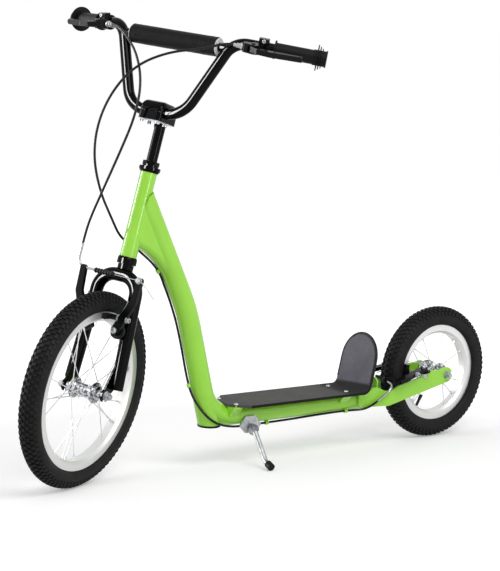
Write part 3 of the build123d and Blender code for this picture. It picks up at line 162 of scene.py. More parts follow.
def black_enamel():
    """Gloss black enamel on steel tube: deep black with sharp white reflections."""
    material, tree, shader = new_material("gloss_black_enamel", "020202", 0.09, 0.0, Specular_IOR_Level=0.08)
    place = add(tree, "ShaderNodeTexCoord")
    peel = add(tree, "ShaderNodeTexNoise", Vector=place.outputs["Object"], Scale=1 / (2.0 * MM))
    skin = add(tree, "ShaderNodeBump", Strength=0.3, Distance=0.02 * MM, Height=peel.outputs["Fac"])
    tree.links.new(skin.outputs["Normal"], shader.inputs["Normal"])
    return material


def black_alloy():
    """Forged alloy, black anodised: a soft grey sheen on near black."""
    material, tree, shader = new_material("black_anodised_alloy", "060607", 0.26, 0.0,
                                          Specular_IOR_Level=0.12)
    place = add(tree, "ShaderNodeTexCoord")
    grain = add(tree, "ShaderNodeTexNoise", Vector=place.outputs["Object"], Scale=1 / (0.8 * MM))
    skin = add(tree, "ShaderNodeBump", Strength=0.5, Distance=0.02 * MM, Height=grain.outputs["Fac"])
    tree.links.new(skin.outputs["Normal"], shader.inputs["Normal"])
    return material


def grip_tape():
    """Silicon carbide grit on a dark backing: dark grey and matt on the trodden faces, black at the edges,
    with painted shade on the strip before the guard and a painted lighter, cooler tone on the guard's upright
    face.
    """
    material, tree, shader = new_material("carbide_grip_tape", "58585a", 0.85, 0.0, Specular_IOR_Level=0.2)
    place = add(tree, "ShaderNodeTexCoord")
    # the grit is 0.3 mm across and is drawn at 1.2 mm, so that it shows
    grit = add(tree, "ShaderNodeTexNoise", Vector=place.outputs["Object"], Scale=1 / (1.2 * MM), Detail=3.0,
               Roughness=0.7)
    wear = add(tree, "ShaderNodeTexNoise", Vector=place.outputs["Object"], Scale=1 / (60 * MM), Detail=3.0,
               Roughness=0.6)
    fine = add(tree, "ShaderNodeValToRGB", {"stops": [(0.3, "5c5b61"), (0.7, "88878f")]},
               Fac=grit.outputs["Fac"])
    cloudy = add(tree, "ShaderNodeValToRGB", {"stops": [(0.35, "e4e4e4"), (0.7, "ffffff")]},
                 Fac=wear.outputs["Fac"])
    both = add(tree, "ShaderNodeMix", {"data_type": "RGBA", "blend_type": "MULTIPLY"}, _0=1.0,
               _6=fine.outputs["Color"], _7=cloudy.outputs["Color"])
    # painted light: the guard's upright face is painted paler and cooler than the trodden deck, as if more
    # light fell on it
    spot = add(tree, "ShaderNodeSeparateXYZ", Vector=place.outputs["Object"])
    raised = add(tree, "ShaderNodeMapRange", Value=spot.outputs["Z"], _1=0.143, _2=0.15)
    guard_face_painted_light = add(tree, "ShaderNodeMix", {"data_type": "RGBA", "blend_type": "MIX"},
                       _0=raised.outputs["Result"], _6=linear("c1c2b4"), _7=linear("fdfbff"))
    toned = add(tree, "ShaderNodeMix", {"data_type": "RGBA", "blend_type": "MULTIPLY"}, _0=1.0,
                _6=both.outputs[2], _7=guard_face_painted_light.outputs[2])
    # no grit on the plate's edges and underside; the strip before the guard is painted dark too, as painted
    # shade from the guard
    side = add(tree, "ShaderNodeNewGeometry")
    facing = add(tree, "ShaderNodeSeparateXYZ", Vector=side.outputs["Normal"])
    best = add(tree, "ShaderNodeMath", {"operation": "MAXIMUM"}, _0=facing.outputs["X"],
               _1=facing.outputs["Z"])
    gritted = add(tree, "ShaderNodeMapRange", Value=best.outputs["Value"], _1=0.45, _2=0.6)
    # painted shade: behind this point the grit fades to the dark edge colour, standing in for the guard's
    # shadow
    before = add(tree, "ShaderNodeMapRange", Value=spot.outputs["X"], _1=guard_shade_x - 0.012,
                 _2=guard_shade_x + 0.012, _3=0.12, _4=1.0)
    outside_painted_shade = add(tree, "ShaderNodeMath", {"operation": "MAXIMUM"}, _0=before.outputs["Result"],
               _1=raised.outputs["Result"])
    cover = add(tree, "ShaderNodeMath", {"operation": "MULTIPLY"}, _0=gritted.outputs["Result"],
                _1=outside_painted_shade.outputs["Value"])
    edges_and_painted_shade = add(tree, "ShaderNodeMix", {"data_type": "RGBA", "blend_type": "MIX"}, _0=cover.outputs["Value"],
                _6=linear("161616"), _7=toned.outputs[2])
    tree.links.new(edges_and_painted_shade.outputs[2], shader.inputs["Base Color"])
    skin = add(tree, "ShaderNodeBump", Strength=0.8, Distance=0.25 * MM, Height=grit.outputs["Fac"])
    tree.links.new(skin.outputs["Normal"], shader.inputs["Normal"])
    return material


def tyre_rubber():
    """Vulcanised rubber, moulded: matt charcoal with a slight bloom."""
    material, tree, shader = new_material("vulcanised_tyre_rubber", "1c1c1d", 0.6, 0.0,
                                          Specular_IOR_Level=0.13)
    place = add(tree, "ShaderNodeTexCoord")
    bloom = add(tree, "ShaderNodeTexNoise", Vector=place.outputs["Object"], Scale=1 / (25 * MM), Detail=4.0,
                Roughness=0.6)
    colour = add(tree, "ShaderNodeValToRGB", {"stops": [(0.3, "151516"), (0.75, "222223")]},
                 Fac=bloom.outputs["Fac"])
    tree.links.new(colour.outputs["Color"], shader.inputs["Base Color"])
    grain = add(tree, "ShaderNodeTexNoise", Vector=place.outputs["Object"], Scale=1 / MM, Detail=3.0,
                Roughness=0.6)
    skin = add(tree, "ShaderNodeBump", Strength=0.5, Distance=0.1 * MM, Height=grain.outputs["Fac"])
    tree.links.new(skin.outputs["Normal"], shader.inputs["Normal"])
    return material


def grip_rubber():
    """Soft thermoplastic rubber, moulded: matt black that catches a dull light on its ribs."""
    material, tree, shader = new_material("thermoplastic_grip_rubber", "08080a", 0.5, 0.0,
                                          Specular_IOR_Level=0.14)
    place = add(tree, "ShaderNodeTexCoord")
    grain = add(tree, "ShaderNodeTexNoise", Vector=place.outputs["Object"], Scale=1 / (0.8 * MM), Detail=3.0)
    skin = add(tree, "ShaderNodeBump", Strength=0.5, Distance=0.06 * MM, Height=grain.outputs["Fac"])
    tree.links.new(skin.outputs["Normal"], shader.inputs["Normal"])
    return material


def pad_cover():
    """Woven nylon over foam: matt black with a fine weave and a soft sheen at grazing light."""
    material, tree, shader = new_material("woven_nylon_cover", "050506", 0.5, 0.0, Specular_IOR_Level=0.12,
                                          Sheen_Weight=0.01, Sheen_Roughness=0.4)
    spread = add(tree, "ShaderNodeUVMap")
    # the threads are 0.5 mm apart and are drawn at 2 mm, so that they show
    checks = add(tree, "ShaderNodeTexChecker", Vector=spread.outputs["UV"], Scale=500.0)
    place = add(tree, "ShaderNodeTexCoord")
    folds = add(tree, "ShaderNodeTexNoise", Vector=place.outputs["Object"], Scale=1 / (6 * MM), Detail=3.0)
    both = add(tree, "ShaderNodeMath", {"operation": "ADD"}, _0=checks.outputs["Fac"],
               _1=folds.outputs["Fac"])
    skin = add(tree, "ShaderNodeBump", Strength=0.5, Distance=0.12 * MM, Height=both.outputs["Value"])
    tree.links.new(skin.outputs["Normal"], shader.inputs["Normal"])
    return material


def rim_alloy():
    """Aluminium, extruded and polished: pale silver with softly clouded reflections."""
    material, tree, shader = new_material("polished_rim_aluminium", "dcdcdb", 0.34, 0.75)
    place = add(tree, "ShaderNodeTexCoord")
    cloud = add(tree, "ShaderNodeTexNoise", Vector=place.outputs["Object"], Scale=1 / (8 * MM), Detail=3.0)
    rough = add(tree, "ShaderNodeMapRange", Value=cloud.outputs["Fac"], _3=0.28, _4=0.42)
    tree.links.new(rough.outputs["Result"], shader.inputs["Roughness"])
    return material


def zinc_plate():
    """Zinc-plated steel: grey silver with soft, slightly cloudy reflections."""
    material, tree, shader = new_material("zinc_plated_steel", "c3c5c8", 0.42, 0.9)
    place = add(tree, "ShaderNodeTexCoord")
    cloud = add(tree, "ShaderNodeTexNoise", Vector=place.outputs["Object"], Scale=1 / (5 * MM), Detail=3.0)
    colour = add(tree, "ShaderNodeValToRGB", {"stops": [(0.35, "9a9da0"), (0.65, "bcbfc1")]},
                 Fac=cloud.outputs["Fac"])
    tree.links.new(colour.outputs["Color"], shader.inputs["Base Color"])
    return material


def hub_steel():
    """Turned and pressed steel, bright, with painted reflections: pale and dark patches in its colour stand
    in for the light and dark it would mirror.
    """
    material, tree, shader = new_material("turned_hub_steel", "b0b2b5", 0.2, 1.0)
    place = add(tree, "ShaderNodeTexCoord")
    # painted reflections: noise makes pale and dark patches in the base colour
    painted_reflection_patches = add(tree, "ShaderNodeTexNoise", Vector=place.outputs["Object"], Scale=1 / (5 * MM), Detail=2.0)
    colour = add(tree, "ShaderNodeValToRGB", {"stops": [(0.42, "5f6265"), (0.58, "ced0d3")]},
                 Fac=painted_reflection_patches.outputs["Fac"])
    tree.links.new(colour.outputs["Color"], shader.inputs["Base Color"])
    return material


def spoke_wire():
    """Stainless wire, drawn: pale and soft, so thin that its reflections run together."""
    material, tree, shader = new_material("drawn_stainless_wire", "d6d7da", 0.3, 1.0)
    place = add(tree, "ShaderNodeTexCoord")
    cloud = add(tree, "ShaderNodeTexNoise", Vector=place.outputs["Object"], Scale=1 / (12 * MM))
    rough = add(tree, "ShaderNodeMapRange", Value=cloud.outputs["Fac"], _3=0.25, _4=0.4)
    tree.links.new(rough.outputs["Result"], shader.inputs["Roughness"])
    return material


def bright_steel():
    """Stainless steel, polished: bright with sharp reflections."""
    material, tree, shader = new_material("polished_stainless_steel", "a3a5a8", 0.16, 1.0)
    place = add(tree, "ShaderNodeTexCoord")
    cloud = add(tree, "ShaderNodeTexNoise", Vector=place.outputs["Object"], Scale=1 / (3 * MM))
    rough = add(tree, "ShaderNodeMapRange", Value=cloud.outputs["Fac"], _3=0.12, _4=0.22)
    tree.links.new(rough.outputs["Result"], shader.inputs["Roughness"])
    return material


def foam_core():
    """Closed-cell foam, cut: pale grey with a fine open grain where the cover leaves it bare."""
    material, tree, shader = new_material("closed_cell_foam", "dadad8", 0.8)
    place = add(tree, "ShaderNodeTexCoord")
    cells = add(tree, "ShaderNodeTexVoronoi", Vector=place.outputs["Object"], Scale=1 / (1.5 * MM))
    skin = add(tree, "ShaderNodeBump", Strength=0.5, Distance=0.2 * MM, Height=cells.outputs["Distance"])
    tree.links.new(skin.outputs["Normal"], shader.inputs["Normal"])
    return material


def black_rubber():
    """Moulded black rubber of boots, pads and trims: dense matt black."""
    material, tree, shader = new_material("moulded_black_rubber", "0c0c0d", 0.5, 0.0, Specular_IOR_Level=0.2)
    place = add(tree, "ShaderNodeTexCoord")
    grain = add(tree, "ShaderNodeTexNoise", Vector=place.outputs["Object"], Scale=1 / MM, Detail=3.0)
    skin = add(tree, "ShaderNodeBump", Strength=0.4, Distance=0.05 * MM, Height=grain.outputs["Fac"])
    tree.links.new(skin.outputs["Normal"], shader.inputs["Normal"])
    return material


def cable_jacket():
    """PVC-jacketed cable housing, extruded: smooth black with a long soft highlight."""
    material, tree, shader = new_material("extruded_pvc_jacket", "060607", 0.25, 0.0, Specular_IOR_Level=0.25)
    place = add(tree, "ShaderNodeTexCoord")
    waver = add(tree, "ShaderNodeTexNoise", Vector=place.outputs["Object"], Scale=1 / (4 * MM))
    skin = add(tree, "ShaderNodeBump", Strength=0.4, Distance=0.03 * MM, Height=waver.outputs["Fac"])
    tree.links.new(skin.outputs["Normal"], shader.inputs["Normal"])
    return material


FINISHES = {
    "frame_paint": powder_coat(),
    "black_paint": black_enamel(),
    "black_alloy": black_alloy(),
    "deck_grip": grip_tape(),
    "tyre_rubber": tyre_rubber(),
    "inner_rubber": black_rubber(),
    "grip_rubber": grip_rubber(),
    "pad_foam": pad_cover(),
    "rim_alloy": rim_alloy(),
    "zinc": zinc_plate(),
    "bright_steel": bright_steel(),
    "housing": cable_jacket(),
}
slot_of = {part["node"]: part["material_slot"] for part in frame["record"]["subparts"]}
drawn_wire, turned_steel = spoke_wire(), hub_steel()
wheel_finishes = {"front_spokes": drawn_wire, "rear_spokes": drawn_wire, "front_hub": turned_steel,
                  "rear_hub": turned_steel}
for name, obj in frame["nodes"].items():
    obj.data.materials.clear()
    obj.data.materials.append(wheel_finishes.get(name, FINISHES[slot_of[name]]))


# ---------------------------------------------------------------- making pieces
MERGE_WITHIN = 0.001 * MM
SHARP_FROM = math.radians(38)


def to_object(name, mesh, finish):
    """An object of a mesh, in the scene and in one finish."""
    obj = bpy.data.objects.new(name, mesh)
    bpy.context.scene.collection.objects.link(obj)
    mesh.materials.clear()
    mesh.materials.append(finish)
    return obj


def finished(name, bm, finish, body):
    """Turns a bmesh, already in its place, into a piece that rides on a body."""
    bmesh.ops.remove_doubles(bm, verts=bm.verts, dist=MERGE_WITHIN)
    bmesh.ops.recalc_face_normals(bm, faces=bm.faces)
    mesh = bpy.data.meshes.new(name)
    bm.to_mesh(mesh)
    bm.free()
    mesh.shade_smooth()
    mesh.set_sharp_from_angle(angle=SHARP_FROM)
    obj = to_object(name, mesh, finish)
    if body:
        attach(obj, body)
    return obj


def lathed(profile, place, steps, close=True):
    """A bmesh of a profile of (radius, height) turned round z, then moved by a matrix.

    A closed profile joins its last point to its first.
    """
    bm = bmesh.new()
    rings = []
    for radius, height in profile:
        if radius == 0:
            rings.append([bm.verts.new((0, 0, height))])
        else:
            rings.append([bm.verts.new((radius * math.cos(2 * math.pi * i / steps),
                                        radius * math.sin(2 * math.pi * i / steps), height))
                          for i in range(steps)])
    pairs = list(zip(rings, rings[1:])) + ([(rings[-1], rings[0])] if close else [])
    for a, b in pairs:
        for i in range(steps):
            j = (i + 1) % steps
            loop = [a[i % len(a)], a[j % len(a)], b[j % len(b)], b[i % len(b)]]
            outside_painted_shade = [v for k, v in enumerate(loop) if v not in loop[:k]]
            if len(outside_painted_shade) > 2:
                bm.faces.new(outside_painted_shade)
    bm.transform(place)
    return bm


def arc_points(centre, radius, start, end, steps):
    """Points along an arc between two angles in degrees."""
    return [(centre[0] + radius * math.cos(math.radians(start + (end - start) * i / steps)),
             centre[1] + radius * math.sin(math.radians(start + (end - start) * i / steps)))
            for i in range(steps + 1)]


# ---------------------------------------------------------------- tyres
def knob_ring_tree():
    """Geometry Nodes: one ring of tread knobs round z, each a block that narrows to its top."""
    tree = bpy.data.node_groups.new("knob_ring", "GeometryNodeTree")
    face = tree.interface
    face.new_socket("Geometry", in_out="OUTPUT", socket_type="NodeSocketGeometry")
    for name, kind in (("Knobs", "Int"), ("Radius", "Float"), ("Beside", "Float"), ("Lean", "Float"),
                       ("Phase", "Float"), ("Size", "Vector"), ("Rubber", "Material")):
        face.new_socket(name, in_out="INPUT", socket_type="NodeSocket" + kind)
    given = add(tree, "NodeGroupInput").outputs
    ring = add(tree, "GeometryNodeMeshCircle", Vertices=given["Knobs"], Radius=given["Radius"])
    spin = add(tree, "ShaderNodeCombineXYZ", Z=given["Phase"])
    aside = add(tree, "ShaderNodeCombineXYZ", Z=given["Beside"])
    turned = add(tree, "GeometryNodeTransform", Geometry=ring.outputs["Mesh"],
                 Translation=aside.outputs["Vector"], Rotation=spin.outputs["Vector"])
    place = add(tree, "GeometryNodeInputPosition")
    flat = add(tree, "ShaderNodeVectorMath", {"operation": "MULTIPLY"}, _0=place.outputs["Position"],
               _1=(1, 1, 0))
    outward = add(tree, "FunctionNodeAlignRotationToVector", {"axis": "X", "pivot_axis": "Z"},
                  Vector=flat.outputs["Vector"])
    tip = add(tree, "FunctionNodeAxisAngleToRotation", Axis=(0, 1, 0), Angle=given["Lean"])
    leaning = add(tree, "FunctionNodeRotateRotation", {"rotation_space": "LOCAL"},
                  Rotation=outward.outputs["Rotation"], Rotate_By=tip.outputs["Rotation"])
    # a block 1 wide at its foot and 0.8 at its top: the radii are half its diagonals
    block = add(tree, "GeometryNodeMeshCone", {"fill_type": "NGON"}, Vertices=4, Radius_Top=0.56,
                Radius_Bottom=0.7071, Depth=1.0)
    square = add(tree, "GeometryNodeTransform", Geometry=block.outputs["Mesh"], Translation=(0, 0, -0.5),
                 Rotation=(0, 0, math.pi / 4))
    lying = add(tree, "GeometryNodeTransform", Geometry=square.outputs["Geometry"],
                Rotation=(0, math.pi / 2, 0))
    sized = add(tree, "GeometryNodeTransform", Geometry=lying.outputs["Geometry"], Scale=given["Size"])
    knobs = add(tree, "GeometryNodeInstanceOnPoints", Points=turned.outputs["Geometry"],
                Instance=sized.outputs["Geometry"], Rotation=leaning.outputs["Rotation"])
    real = add(tree, "GeometryNodeRealizeInstances", Geometry=knobs.outputs["Instances"])
    done = add(tree, "GeometryNodeSetMaterial", Geometry=real.outputs["Geometry"],
               Material=given["Rubber"])
    add(tree, "NodeGroupOutput", Geometry=done.outputs["Geometry"])
    return tree


def from_tree(tree, values):
    """The plain mesh that a Geometry Nodes tree makes with these values on its named inputs."""
    holder = bpy.data.objects.new("holder", bpy.data.meshes.new("holder"))
    bpy.context.scene.collection.objects.link(holder)
    modifier = holder.modifiers.new("made", "NODES")
    modifier.node_group = tree
    names = {item.name: item.identifier for item in tree.interface.items_tree if item.in_out == "INPUT"}
    for key, value in values.items():
        modifier[names[key]] = value
    made = holder.evaluated_get(bpy.context.evaluated_depsgraph_get())
    mesh = bpy.data.meshes.new_from_object(made)
    bpy.data.objects.remove(holder)
    return mesh


KNOB_RING = knob_ring_tree()
KNOB_HEIGHT = 3.2 * MM
CASING_WALL = 3 * MM
RIM_HALF, RIM_DEPTH = 12.1 * MM, 7.6 * MM  # the rim's half width, and how far its flanges pass the bead
TREAD_ROWS = [  # degrees round the casing from the crown, knob size, phase in pitches, how far it is sunk
    (0, (5.4, 7.4, 8.0), 0.0, 0),
    (20, (5.4, 6.8, 7.8), 0.5, 0),
    (-20, (5.4, 6.8, 7.8), 0.5, 0),
    (39, (5.4, 7.0, 8.4), 0.0, 0.4),
    (-39, (5.4, 7.0, 8.4), 0.0, 0.4),
    (58, (5.2, 8.0, 9.8), 0.5, 1.5),
    (-58, (5.2, 8.0, 9.8), 0.5, 1.5),
]


def knob_rows(bm, outer, half, pitches):
    """Adds the tread: a middle row, and on each side two staggered rows and the long shoulder lugs."""
    middle = outer - half
    for degrees, size, phase, sunk in TREAD_ROWS:
        angle = math.radians(degrees)
        reach = half - (size[0] / 2 + sunk) * MM
        mesh = from_tree(KNOB_RING, {
            "Knobs": pitches, "Radius": middle + reach * math.cos(angle), "Beside": reach * math.sin(angle),
            "Lean": -angle, "Phase": phase * 2 * math.pi / pitches,
            "Size": [s * MM for s in size], "Rubber": FINISHES["tyre_rubber"],
        })
        bm.from_mesh(mesh)
        bpy.data.meshes.remove(mesh)


def tyre_casing(bead, outer, half, low_angle):
    """The casing round z as one shell, with a strip where its side meets the rim.

    Its side ends at the low angle, in degrees round the section from the crown.
    """
    carcass = half - KNOB_HEIGHT
    middle = outer - half
    rim_top = bead + RIM_DEPTH
    outside = [(bead + 0.2 * MM, RIM_HALF), (rim_top, RIM_HALF), (rim_top + 1.2 * MM, RIM_HALF + 2.2 * MM)]
    outside += arc_points((middle, 0), carcass, low_angle, 0, 14)
    outline = outside + [(r, -z) for r, z in reversed(outside[:-1])]
    inside = arc_points((middle, 0), carcass - CASING_WALL, -100, 100, 12)
    bead_in = [(bead + 0.4 * MM, 9.5 * MM), (bead + 0.2 * MM, 9.5 * MM)]
    outline += [(r, -z) for r, z in reversed(bead_in)] + inside + bead_in
    return lathed(outline, Matrix(), 144)


def tyre(end, bead, outer, half, low_angle, pitches, place):
    """A tyre with its tread, from its bead, outer and section radius in millimetres."""
    bead, outer, half = bead * MM, outer * MM, half * MM
    bm = tyre_casing(bead, outer, half, low_angle)
    bmesh.ops.recalc_face_normals(bm, faces=bm.faces)
    for face in bm.faces:
        face.smooth = True
    knob_rows(bm, outer, half, pitches)
    bm.transform(place)
    mesh = bpy.data.meshes.new(f"{end}_tyre_tread")
    bm.to_mesh(mesh)
    bm.free()
    obj = to_object(f"{end}_tyre_tread", mesh, FINISHES["tyre_rubber"])
    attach(obj, f"{end}_wheel")
    return obj


front_tyre = tyre("front", 152.5, 197, 24, 112, 96, front_wheel)
rear_tyre = tyre("rear", 103.5, 152, 27, 118, 74, rear_wheel)
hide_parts("front_tyre")
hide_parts("rear_tyre")


# ---------------------------------------------------------------- cables
def halfway(a, b):
    """The point halfway between two others."""
    return (Vector(a) + Vector(b)) / 2


def smooth_tube(name, points, radius, finish, around=5):
    """A round cable as a NURBS curve through its points, turned to a mesh in place."""
    curve = bpy.data.curves.new(name, "CURVE")
    curve.dimensions = "3D"
    curve.bevel_depth = radius
    curve.bevel_resolution = around
    curve.use_fill_caps = True
    line = curve.splines.new("NURBS")
    line.points.add(len(points) - 1)
    for spot, point in zip(line.points, points):
        spot.co = (*point, 1.0)
    line.order_u = 3
    line.resolution_u = 12
    line.use_endpoint_u = True
    holder = bpy.data.objects.new(name + "_curve", curve)
    bpy.context.scene.collection.objects.link(holder)
    mesh = bpy.data.meshes.new_from_object(holder.evaluated_get(bpy.context.evaluated_depsgraph_get()))
    bpy.data.objects.remove(holder)
    bm = bmesh.new()
    bm.from_mesh(mesh)
    bpy.data.meshes.remove(mesh)
    return finished(name, bm, finish, None)


def placed(place, points):
    """Points in millimetres of a frame, in the scene."""
    return [place @ (Vector(point) * MM) for point in points]


# the cables' courses: each point is where the housing bends, in millimetres of the frame it is held in
LEFT_BARREL = [(40.37, 139.62, 713.60), (46.57, 125.97, 712.93)]  # where the left lever's cable leaves
REAR_UPPER = LEFT_BARREL + [
    (60, 88, 692), (84, 30, 672), (106, -22, 632), (122, -50, 572), (124, -63, 505),
    (111, -61, 440), (78, -48, 380), (46, -30, 338),
]
HEAD_SIDE = [(10, -27, 304), (-31, -17, 291)]
BEFORE_SEAM = (768.3, -5, 421)
REAR_SEAM = (757, -6.7, 393.3)
REAR_LOWER = [
    REAR_SEAM, (740.6, -9.2, 363.1), (729, -10.2, 336), (717.6, -11, 307.3), (700.8, -12, 250.6),
    (688, -12, 198), (682, 2, 157), (664, 20, 122), (635, 28, 98), (590, 22, 86), (545, 10, 81.8),
    (431, 8, 82.4), (392, 12.6, 85), (350, 16.5, 87.5), (290, 18.5, 89), (262, 19, 88.5),
]
NOODLE_FOOT = Vector((204, 43.5, 109.5))  # the rear noodle's lower end, and which way it points
NOODLE_WAY = Vector((32, -18, -34)).normalized()
FRONT_SEAM = (98, -22, 427)
FRONT_UPPER = [(x, -y, z) for x, y, z in LEFT_BARREL] + [
    (62, -85, 692), (88, -35, 655), (104, 0, 600), (108, 6, 535), (102, -10, 470), FRONT_SEAM,
]
FRONT_LOWER = [FRONT_SEAM, (94, -34, 384), (74, -58, 334), (43, -82, 302), (43, -82, 277)]
CABLE_R, WIRE_R, SPRING_R = 2.5 * MM, 0.8 * MM, 0.9 * MM
jacket = FINISHES["housing"]

# the rear cable's upper run is made in two pieces that meet past its bend, its points placed with the bar and
# then down the head tube; neither piece rides on a body
upper_part = placed(steered, REAR_UPPER[:7])
lower_part = placed(steered, REAR_UPPER[6:]) + placed(straight, HEAD_SIDE) + placed(
    upright, [BEFORE_SEAM, REAR_SEAM])
meet = halfway(upper_part[-2], upper_part[-1])
rear_top = smooth_tube("rear_cable_upper_run", upper_part[:-1] + [meet], CABLE_R, jacket)
rear_mid = smooth_tube("rear_cable_neck_run", [meet] + lower_part, CABLE_R, jacket)
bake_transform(rear_top)
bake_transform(rear_mid)
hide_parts("rear_brake_cable_upper")

rear_run = placed(upright, REAR_LOWER + [NOODLE_FOOT + NOODLE_WAY * 28, NOODLE_FOOT + NOODLE_WAY * 0.5])
rear_low = smooth_tube("rear_cable_frame_run", rear_run, CABLE_R, jacket)
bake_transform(rear_low)
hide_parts("rear_brake_cable_lower")

front_run = placed(steered, FRONT_UPPER)
front_top = smooth_tube("front_cable_upper_run", front_run, CABLE_R, jacket)
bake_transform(front_top)
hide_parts("front_brake_cable_upper")
front_run = placed(steered, FRONT_LOWER)
front_low = smooth_tube("front_cable_lower_run", front_run, CABLE_R, jacket)
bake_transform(front_low)
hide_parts("front_brake_cable_lower")


# ---------------------------------------------------------------- brake hardware
ROUND, HEXAGON = 28, 6  # steps round a turned part


def aimed(place, point, way):
    """The frame at a point in millimetres of another frame, with its z along a direction there."""
    turn = Vector(way).to_track_quat("Z", "Y").to_matrix().to_4x4()
    turn.translation = Vector(point) * MM
    return place @ turn


def turned_piece(name, profile, place, slot, body, steps=ROUND, closed=False):
    """A turned part, or a six-sided one, from its profile of (radius, height) in millimetres."""
    bm = lathed([(radius * MM, height * MM) for radius, height in profile], place, steps, closed)
    return finished(name, bm, FINISHES[slot], body)


def hex_nut(name, corner, bore, high, place, slot, body):
    """A chamfered six-sided nut."""
    profile = [(bore, 0), (corner - 0.7, 0), (corner, 0.8), (corner, high - 0.8), (corner - 0.7, high),
               (bore, high)]
    turned_piece(name, profile, place, slot, body, HEXAGON, True)


def washer(name, radius, bore, thick, place, slot, body):
    """A washer with broken edges."""
    edge = 0.2
    profile = [(bore, 0), (radius - edge, 0), (radius, edge), (radius, thick - edge), (radius - edge, thick),
               (bore, thick)]
    turned_piece(name, profile, place, slot, body, ROUND, True)


SOCKET_BOLT = [(0, -0.5), (6.3, -0.5), (6.3, 0.6), (5.6, 1.7), (4.2, 2.3), (2.9, 2.4), (2.7, 0.7), (0, 0.6)]
BELLOWS = [(0, 0)] + [(r, 6.5 * i + h) for i in range(7) for r, h in ((4.1, 0), (5.6, 3.2))] + [
    (4.0, 46), (0, 48)]
stay_tilt = math.radians(12)
# brake frames have x along the arms, y across the wheel and z away from the blades or stays
front_brake = steered @ frame_of(Vector((0, 0, 1)), Vector((0, -1, 0)), Vector((1, 0, 0)), Vector())
rear_brake = upright @ frame_of(
    Vector((math.cos(stay_tilt), 0, -math.sin(stay_tilt))), Vector((0, 1, 0)),
    Vector((math.sin(stay_tilt), 0, math.cos(stay_tilt))), Vector((0, 0, REAR_RADIUS)))
# millimetres: stud is the arm's pivot, mid the arms' middle plane, post the pad post's place along the arm,
# faces the arm's inner and outer face there, pad_back the pad's back, tip the arm's cable end, bore and
# deep the inner radius and depth of the spring's housing; left is the side of the left arm
BRAKES = {
    "front": {"place": front_brake, "stud": (127, 38.5), "mid": 43, "post": 152.4, "faces": (40.0, 57.0),
              "pad_back": 24.5, "tip": (232, 66), "bore": 9.8, "deep": 8.0, "fixed": "steering", "left": -1},
    "rear": {"place": rear_brake, "stud": (66, 44.5), "mid": 32, "post": 98.4, "faces": (41.4, 57.8),
             "pad_back": 24.5, "tip": (156, 58.5), "bore": 7.3, "deep": 1.4, "fixed": "frame", "left": 1},
}


def brake_hardware(end, place, stud, mid, post, faces, pad_back, tip, bore, deep, fixed, left):
    """Bolts, springs, nuts and washers on both arms of one brake."""
    outer_way = (0, 0, 1)
    inner_face, outer_face = faces
    x, y = stud
    back, face = mid - 5, mid + 9
    housing = [(bore, -deep), (14.6, -deep), (15.6, -0.85 * deep), (15.6, -0.25 * deep), (15, -0.2),
               (bore, -0.2)]
    cup = [(3.1, 0), (7.2, 0), (7.6, 1.4), (5.4, 4.4), (3.1, 4.6)]
    for side in (1, -1):
        name = f"{end}_left" if side == left else f"{end}_right"
        body = f"{name}_brake"
        turned_piece(f"{name}_stud_bolt", SOCKET_BOLT, aimed(place, (x, side * y, face), outer_way), "zinc",
                     fixed)
        turned_piece(f"{name}_spring_housing", housing, aimed(place, (x, side * y, back), outer_way),
                     "inner_rubber", fixed, 32, True)
        spring = [(x + 2, side * (y - 13), back - 3), (x + 16, side * (y - 12), back - 4),
                  (x + 40, side * (y + 3), back - 2.5),
                  (x + 62, side * (y + (tip[1] - y) * 0.6 - 8), back - 1)]
        wire = smooth_tube(f"{name}_spring_wire", placed(place, spring), SPRING_R, FINISHES["zinc"],
                           3)
        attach(wire, body)
        inward, outward = (0, -side, 0), (0, side, 0)
        washer(f"{name}_post_washer", 6.6, 3.1, 1.4, aimed(place, (post, side * outer_face, mid), outward),
               "zinc", body)
        hex_nut(f"{name}_post_nut", 5.9, 2.4, 5.2,
                aimed(place, (post, side * (outer_face + 1.4), mid), outward), "zinc", body)
        turned_piece(f"{name}_post_cup", cup, aimed(place, (post, side * inner_face, mid), inward), "zinc",
                     body, ROUND, True)
        washer(f"{name}_post_spacer", 5.6, 3.1, inner_face - pad_back - 5.2,
               aimed(place, (post, side * (inner_face - 4.8), mid), inward), "inner_rubber", body)


for end, spec in BRAKES.items():
    brake_hardware(end, **spec)


def inner_wire(end, start, noodle_arm, anchor_arm, fit):
    """The bare wire from the noodle through its bellows to the bolt that clamps it, with its loose tail.

    Wire and bellows run between the two arms at rest as fixed pieces; only the anchor's washer and nut ride
    on an arm.
    """
    place, mid, fixed, (along, aside) = (BRAKES[end][key] for key in ("place", "mid", "fixed", "tip"))
    noodle_body, anchor_body = f"{end}_{noodle_arm}_brake", f"{end}_{anchor_arm}_brake"
    top = mid + 5.6
    clamped = (along, -aside, top)
    half = halfway(start, clamped)
    near = smooth_tube(f"{end}_inner_wire", placed(place, [start, halfway(start, half), half]), WIRE_R,
                       FINISHES["zinc"], 3)
    line = [half, (along, 16 - aside, top), clamped, (along - 3, -aside - 9, top),
            (along - 14, -aside - 20, top - 9), (along - 30, -aside - 30, top - 24)]
    far = smooth_tube(f"{end}_anchored_wire", placed(place, line), WIRE_R, FINISHES["zinc"], 3)
    boot = [(radius * fit, height * fit) for radius, height in BELLOWS]
    bellows = turned_piece(f"{end}_bellows", boot, aimed(place, start, half - Vector(start)),
                           "inner_rubber", None)
    for piece in (near, bellows):
        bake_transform(piece)
    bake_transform(far)
    bolt = aimed(place, (along, -aside, mid + 4.5), (0, 0, 1))
    washer(f"{end}_anchor_washer", 6.8, 0.6, 2.0, bolt, "zinc", anchor_body)
    hex_nut(f"{end}_anchor_bolt", 5.6, 0.1, 4.6, bolt @ Matrix.Translation((0, 0, 2 * MM)), "zinc",
            anchor_body)


